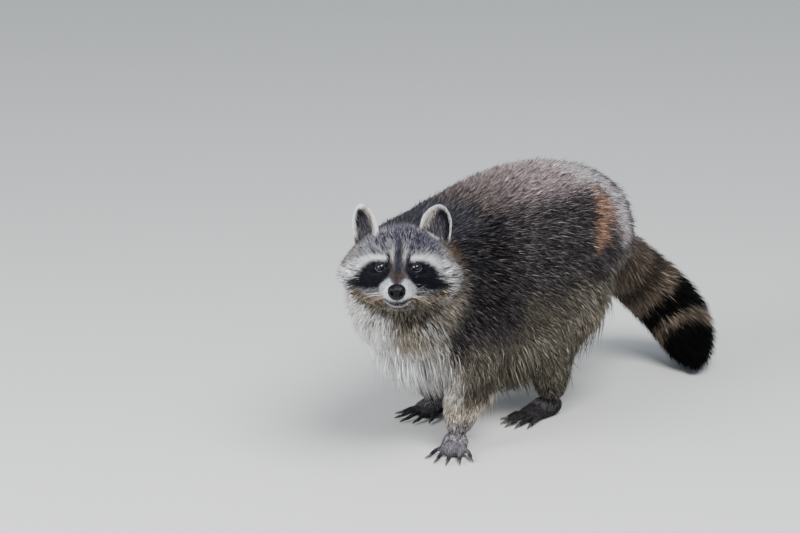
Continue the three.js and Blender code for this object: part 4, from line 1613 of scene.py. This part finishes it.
def eye_paint():
    """A wet dark eye: a black pupil in a deep brown iris."""
    paint = Paint("raccoon_eye", Roughness=0.05, Specular_IOR_Level=0.45)
    angle = paint.measure("Turned")
    streaks = paint.noise(2600, 3.0, 0.6, (0.35, 1, 1))
    uneven = angle + (streaks - 0.5) * 0.05
    round_pupil = paint.node("ShaderNodeMapRange", inputs={0: uneven, 1: 0.40, 2: 0.50, 3: 0, 4: 1})
    iris = paint.mixed(streaks, (0.004, 0.003, 0.002, 1), (0.013, 0.008, 0.005, 1))
    inner = paint.mixed(round_pupil, (0.002, 0.002, 0.002, 1), iris)
    round_iris = paint.node("ShaderNodeMapRange", inputs={0: angle, 1: 0.74, 2: 0.84, 3: 0, 4: 1})
    return paint.colour(paint.mixed(round_iris, inner, (0.012, 0.009, 0.008, 1))).material


class RACCOON_OT_eyes(bpy.types.Operator):
    """The two eyeballs"""

    bl_idname = "raccoon.eyes"
    bl_label = "Eyes"

    def execute(self, context):
        paint = eye_paint()
        for side in SIDES:
            eye = ball(f"eyeball_{side}", 5)
            spots = points_of(eye)
            turned = np.arccos(np.clip(spots[:, 0], -1, 1))
            radius = eye_radius() - 0.15 * MM + 0.35 * MM * rise(0.75, 0.25, turned)
            move(eye, eye_place(side) + spots @ eye_axes(side) * radius[:, None])
            store(eye, "Turned", turned, "FLOAT")
            eye.shade_smooth()
            eye.update()
            add_piece(f"eyeball_{side}", eye, paint, [f"eye_{side}"])
        return {"FINISHED"}


def nose_paint():
    """Damp pebbled skin."""
    paint = Paint("raccoon_nose", Roughness=0.2, Specular_IOR_Level=0.18)
    sizes = {"Vector": paint.places(), "Scale": 1100}
    cells = paint.value("ShaderNodeTexVoronoi", {"feature": "DISTANCE_TO_EDGE"}, sizes)
    fine = paint.noise(1500, 3.0)
    paint.colour(paint.tinted((0.003, 0.0028, 0.0045, 1), 0.6, 1.5, fine))
    return paint.bump(cells + fine * 0.15, 0.00035, 0.7).material


class RACCOON_OT_nose(bpy.types.Operator):
    """The nose pad with its nostrils"""

    bl_idname = "raccoon.nose"
    bl_label = "Nose"

    def execute(self, context):
        local = HEAD.local(node_points("nose"))
        low, high = local.min(0), local.max(0)
        middle, half = (low + high) / 2, (high - low) / 2
        pad = ball("nose_pad", 6)
        x, y, z = points_of(pad).T
        wide = np.abs(y)
        form = np.sign([x, y, z]) * np.abs([x, y, z]) ** 0.86
        form[1] *= 0.86 + 0.14 * rise(-0.9, 0.5, z)
        form[0] *= 1.0 - 0.12 * rise(0.1, 0.9, z)
        # The nostrils, their slits to the sides and the groove below, as shares of the pad's size.
        dip = 0.55 * blob((wide, 0.46, 0.17), (z + 0.12 - 0.25 * (wide - 0.46), 0, 0.20))
        dip += 0.30 * blob((wide, 0.80, 0.20), (z, -0.02, 0.10))
        dip += 0.14 * blob((y, 0, 0.07)) * rise(0.15, -0.1, z)
        form[0] -= dip * rise(-0.1, 0.3, x)
        form[0] += 0.06 * blob((wide, 0.45, 0.35), (z, 0.35, 0.3)) * rise(0, 0.3, x)
        shape = middle + form.T * (half + (0.4, 0.7, 0.8)) - (0.6, 0, 0.8)
        move(pad, HEAD.world(shape))
        pad.shade_smooth()
        pad.update()
        add_piece("nose_pad", pad, nose_paint(), ["nose"])
        return {"FINISHED"}


def claw_paint():
    """Dark horn, paler towards the root."""
    paint = Paint("raccoon_claw", Roughness=0.38, Specular_IOR_Level=0.5)
    grain = paint.noise(1200, 3.0, 0.6, (0.3, 1, 1))
    paint.colour(paint.tinted((0.055, 0.046, 0.040, 1), 0.45, 1.7, grain))
    return paint.bump(grain, 0.0002, 0.5).material


class RACCOON_OT_claws(bpy.types.Operator):
    """Smooth curved claws over the frame's plain ones"""

    bl_idname = "raccoon.claws"
    bl_label = "Claws"

    def execute(self, context):
        names = []
        bm = bmesh.new()
        for kind, side, toe in [leg + (toe,) for leg in LEGS for toe in range(1, 6)]:
            names.append(f"{kind}claw_{side}_{toe}")
            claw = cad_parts[names[-1]].data.copy()
            places = points_of(claw)
            out = unit((places.mean(0) - centre(f"{kind}paw_{side}")) * (1, 1, 0))
            way = places @ out
            share = (way - way.min()) / np.ptp(way)
            root, tip = places[share < 0.3].mean(0), places[share > 0.8].mean(0)
            axis = root * (1 - share[:, None]) + tip * share[:, None]
            swell = 1 + 0.35 * rise(0.5, 0.1, share)[:, None]
            off = places - axis
            off -= np.outer(off @ out, out)
            places += off * (swell - 1) - np.outer(rise(0.6, 0, share) * 3.2 * MM, out)
            move(claw, places)
            bm.from_mesh(claw)
            bpy.data.meshes.remove(claw)
        bmesh.ops.remove_doubles(bm, verts=bm.verts, dist=1e-6)
        mesh = bpy.data.meshes.new("claws")
        bm.to_mesh(mesh)
        bm.free()
        piece = add_piece("claws", mesh, claw_paint(), names)
        smooth = piece.modifiers.new("smooth", "SUBSURF")
        smooth.levels = smooth.render_levels = 2
        mesh.shade_smooth()
        return {"FINISHED"}


def whisker_tree():
    """Tapered stiff hairs along the edges of a mesh."""
    tree = bpy.data.node_groups.new("whiskers", "GeometryNodeTree")
    for name, kind, way, value in (("Paths", "NodeSocketGeometry", "INPUT", None),
                                   ("Thickness", "NodeSocketFloat", "INPUT", 0.00017),
                                   ("Sides", "NodeSocketInt", "INPUT", 5),
                                   ("Paint", "NodeSocketMaterial", "INPUT", None),
                                   ("Whiskers", "NodeSocketGeometry", "OUTPUT", None)):
        socket = tree.interface.new_socket(name, in_out=way, socket_type=kind)
        if value is not None:
            socket.default_value = value
    add, join = tree.nodes.new, tree.links.new
    given, result = add("NodeGroupInput"), add("NodeGroupOutput")
    curve, taper = add("GeometryNodeMeshToCurve"), add("ShaderNodeMapRange")
    along, ring = add("GeometryNodeSplineParameter"), add("GeometryNodeCurvePrimitiveCircle")
    sweep = add("GeometryNodeCurveToMesh")
    real, paint = add("GeometryNodeRealizeInstances"), add("GeometryNodeSetMaterial")
    join(given.outputs["Paths"], curve.inputs["Mesh"])
    join(along.outputs["Factor"], taper.inputs["Value"])
    join(given.outputs["Thickness"], taper.inputs["To Min"])
    taper.inputs["To Max"].default_value = 0.00003
    join(taper.outputs["Result"], sweep.inputs["Scale"])
    ring.inputs["Radius"].default_value = 1
    join(given.outputs["Sides"], ring.inputs["Resolution"])
    join(curve.outputs["Curve"], sweep.inputs["Curve"])
    join(ring.outputs["Curve"], sweep.inputs["Profile Curve"])
    sweep.inputs["Fill Caps"].default_value = True
    join(sweep.outputs["Mesh"], real.inputs["Geometry"])
    join(real.outputs["Geometry"], paint.inputs["Geometry"])
    join(given.outputs["Paint"], paint.inputs["Material"])
    join(paint.outputs["Geometry"], result.inputs["Whiskers"])
    return tree


def whisker_paths():
    """The middles of the whiskers: three rows of three on each side of the muzzle."""
    rng = np.random.default_rng(17)
    skin = bpy.data.objects["skin"].data
    tree = BVHTree.FromPolygons(points_of(skin).tolist(), triangles_of(skin).tolist())
    steps = np.linspace(0, 1, 9)[:, None]
    lines = []
    for sign, row, column in [(sign, row, column) for sign in SIDES.values()
                              for row in range(3) for column in range(3)]:
        up = -26 - 3.4 * row
        spot = HEAD.world([[52 - 3.6 * column, sign * (11 + 3.2 * column), up]])[0]
        spot = np.array(tree.find_nearest(Vector(spot))[0])
        size = (1.0 - 0.08 * row) * (rng.uniform(26, 46) * MM)
        way = np.array([0.1, sign * 1.0, -0.10 - 0.01 * (up + 26)]) + rng.normal(0, 0.20, 3)
        droop = np.array([-0.9, -0.25 * sign, -0.3])
        bent = (unit(way) * steps + droop * steps ** 2 * 0.5) * size
        lines.append(spot + bent @ HEAD.axes)
    return lines


class RACCOON_OT_whiskers(bpy.types.Operator):
    """Stiff pale whiskers on the muzzle"""

    bl_idname = "raccoon.whiskers"
    bl_label = "Whiskers"

    def execute(self, context):
        lines = whisker_paths()
        steps = len(lines[0])
        starts = [line * steps + k for line in range(len(lines)) for k in range(steps - 1)]
        edges = [(start, start + 1) for start in starts]
        mesh = bpy.data.meshes.new("whisker_paths")
        mesh.from_pydata(np.concatenate(lines).tolist(), edges, [])
        paint = Paint("raccoon_whisker", Roughness=0.4)
        paint.colour(paint.tinted((0.62, 0.60, 0.56, 1), 0.6, 1.2, paint.noise(300, 2)))
        holder = placed("whisker_paths", mesh)
        grow = holder.modifiers.new("grow", "NODES")
        grow.node_group = whisker_tree()
        for item in grow.node_group.interface.items_tree:
            if item.in_out == "INPUT" and item.name == "Paint":
                grow[item.identifier] = paint.material
        made = baked(holder)
        made.name = "whiskers"
        made.shade_smooth()
        add_piece("whiskers", made, paint.material)
        return {"FINISHED"}


class RACCOON_OT_clear_guides(bpy.types.Operator):
    """Takes the guides for the hair off the finished skin"""

    bl_idname = "raccoon.clear_guides"
    bl_label = "Clear guides"

    def execute(self, context):
        mesh = bpy.data.objects["skin"].data
        names = [each.name for each in mesh.attributes if each.name.startswith("near_")] + ["outer", "flow"]
        for name in names:
            mesh.attributes.remove(mesh.attributes[name])
        return {"FINISHED"}


# ---------------------------------------------------------------- the stage


LAMPS = [
    ("softbox", (0.9, 1.6, 2.6), 1.8, 1.0),
    ("fill", (2.4, -0.7, 1.2), 1.6, 0.55),
]  # name, place, width and share of the softbox's strength
LAMPS_LOOK_AT = Vector((0.05, 0, 0.15))
SKY = (0.80, 0.89, 1.0, 1)
CAMERA_FROM_EYES = Vector((3.5494, 2.7753, 1.2507))
CAMERA_TURN = math.radians(52)
CAMERA_LIFT = math.radians(15.5)


class RACCOON_OT_stage(bpy.types.Operator):
    """A pale floor, soft light and the camera"""

    bl_idname = "raccoon.stage"
    bl_label = "Stage"

    def execute(self, context):
        stage = settings("raccoon_stage")
        bm = bmesh.new()
        bmesh.ops.create_grid(bm, x_segments=8, y_segments=8, size=20)
        ground = bpy.data.meshes.new("floor")
        bm.to_mesh(ground)
        bm.free()
        paint = Paint("floor", Roughness=0.85)
        paint.colour(paint.tinted(tuple(stage.floor) + (1,), 0.97, 1.02, paint.noise(3, 4)))
        ground.materials.append(paint.material)
        floor = placed("floor", ground)
        world = bpy.data.worlds.new("daylight")
        world.use_nodes = True
        sky = world.node_tree.nodes["Background"].inputs
        sky["Color"].default_value = SKY
        sky["Strength"].default_value = stage.daylight
        context.scene.world = world
        for name, place, size, power in LAMPS:
            data = bpy.data.lights.new(name, "AREA")
            data.shape = "DISK"
            data.size = size
            data.energy = stage.softbox * power
            lamp = placed(name, data)
            lamp.location = place
            to_target = LAMPS_LOOK_AT - Vector(place)
            lamp.rotation_euler = to_target.to_track_quat("-Z", "Y").to_euler()
        eyes = Vector((centre("eye_left") + centre("eye_right")) / 2)
        data = bpy.data.cameras.new("camera")
        data.lens = stage.lens
        data.sensor_width = 36
        data.clip_end = 60
        camera = placed("camera", data)
        camera.location = eyes + CAMERA_FROM_EYES
        level = math.cos(CAMERA_LIFT)
        back = (level * math.sin(CAMERA_TURN), level * math.cos(CAMERA_TURN), math.sin(CAMERA_LIFT))
        camera.rotation_euler = Vector(back).to_track_quat("Z", "Y").to_euler()
        context.scene.camera = camera
        return {"FINISHED"}


class RACCOON_PT_panel(bpy.types.Panel):
    """The raccoon's settings and the making of its pieces"""

    bl_idname = "RACCOON_PT_panel"
    bl_label = "Raccoon"
    bl_space_type = "VIEW_3D"
    bl_region_type = "UI"
    bl_category = "Raccoon"

    def draw(self, context):
        """Lists the settings, group by group, and then the operators."""
        for group in SETTINGS:
            box = self.layout.box()
            for name in SETTINGS[group].__annotations__:
                box.prop(getattr(context.scene, group), name)
        for operator in OPERATORS:
            self.layout.operator(operator.bl_idname)


SETTINGS = {
    "raccoon_coat": RaccoonCoat,
    "raccoon_colours": RaccoonColours,
    "raccoon_stage": RaccoonStage,
}
OPERATORS = [
    RACCOON_OT_stage,
    RACCOON_OT_skin,
    RACCOON_OT_eyes,
    RACCOON_OT_nose,
    RACCOON_OT_claws,
    RACCOON_OT_body_coat,
    RACCOON_OT_face_coat,
    RACCOON_OT_whiskers,
    RACCOON_OT_clear_guides,
]
CLASSES = list(SETTINGS.values()) + OPERATORS + [RACCOON_PT_panel]


def register():
    """Adds the classes, and the settings to the scene."""
    for each in CLASSES:
        bpy.utils.register_class(each)
    for name, group in SETTINGS.items():
        setattr(bpy.types.Scene, name, PointerProperty(type=group))


def unregister():
    """Takes them away again."""
    for name in SETTINGS:
        delattr(bpy.types.Scene, name)
    for each in reversed(CLASSES):
        bpy.utils.unregister_class(each)


def main():
    """Builds every piece in order."""
    register()
    for operator in OPERATORS:
        family, name = operator.bl_idname.split(".")
        getattr(getattr(bpy.ops, family), name)()


if __name__ == "__main__":
    main()
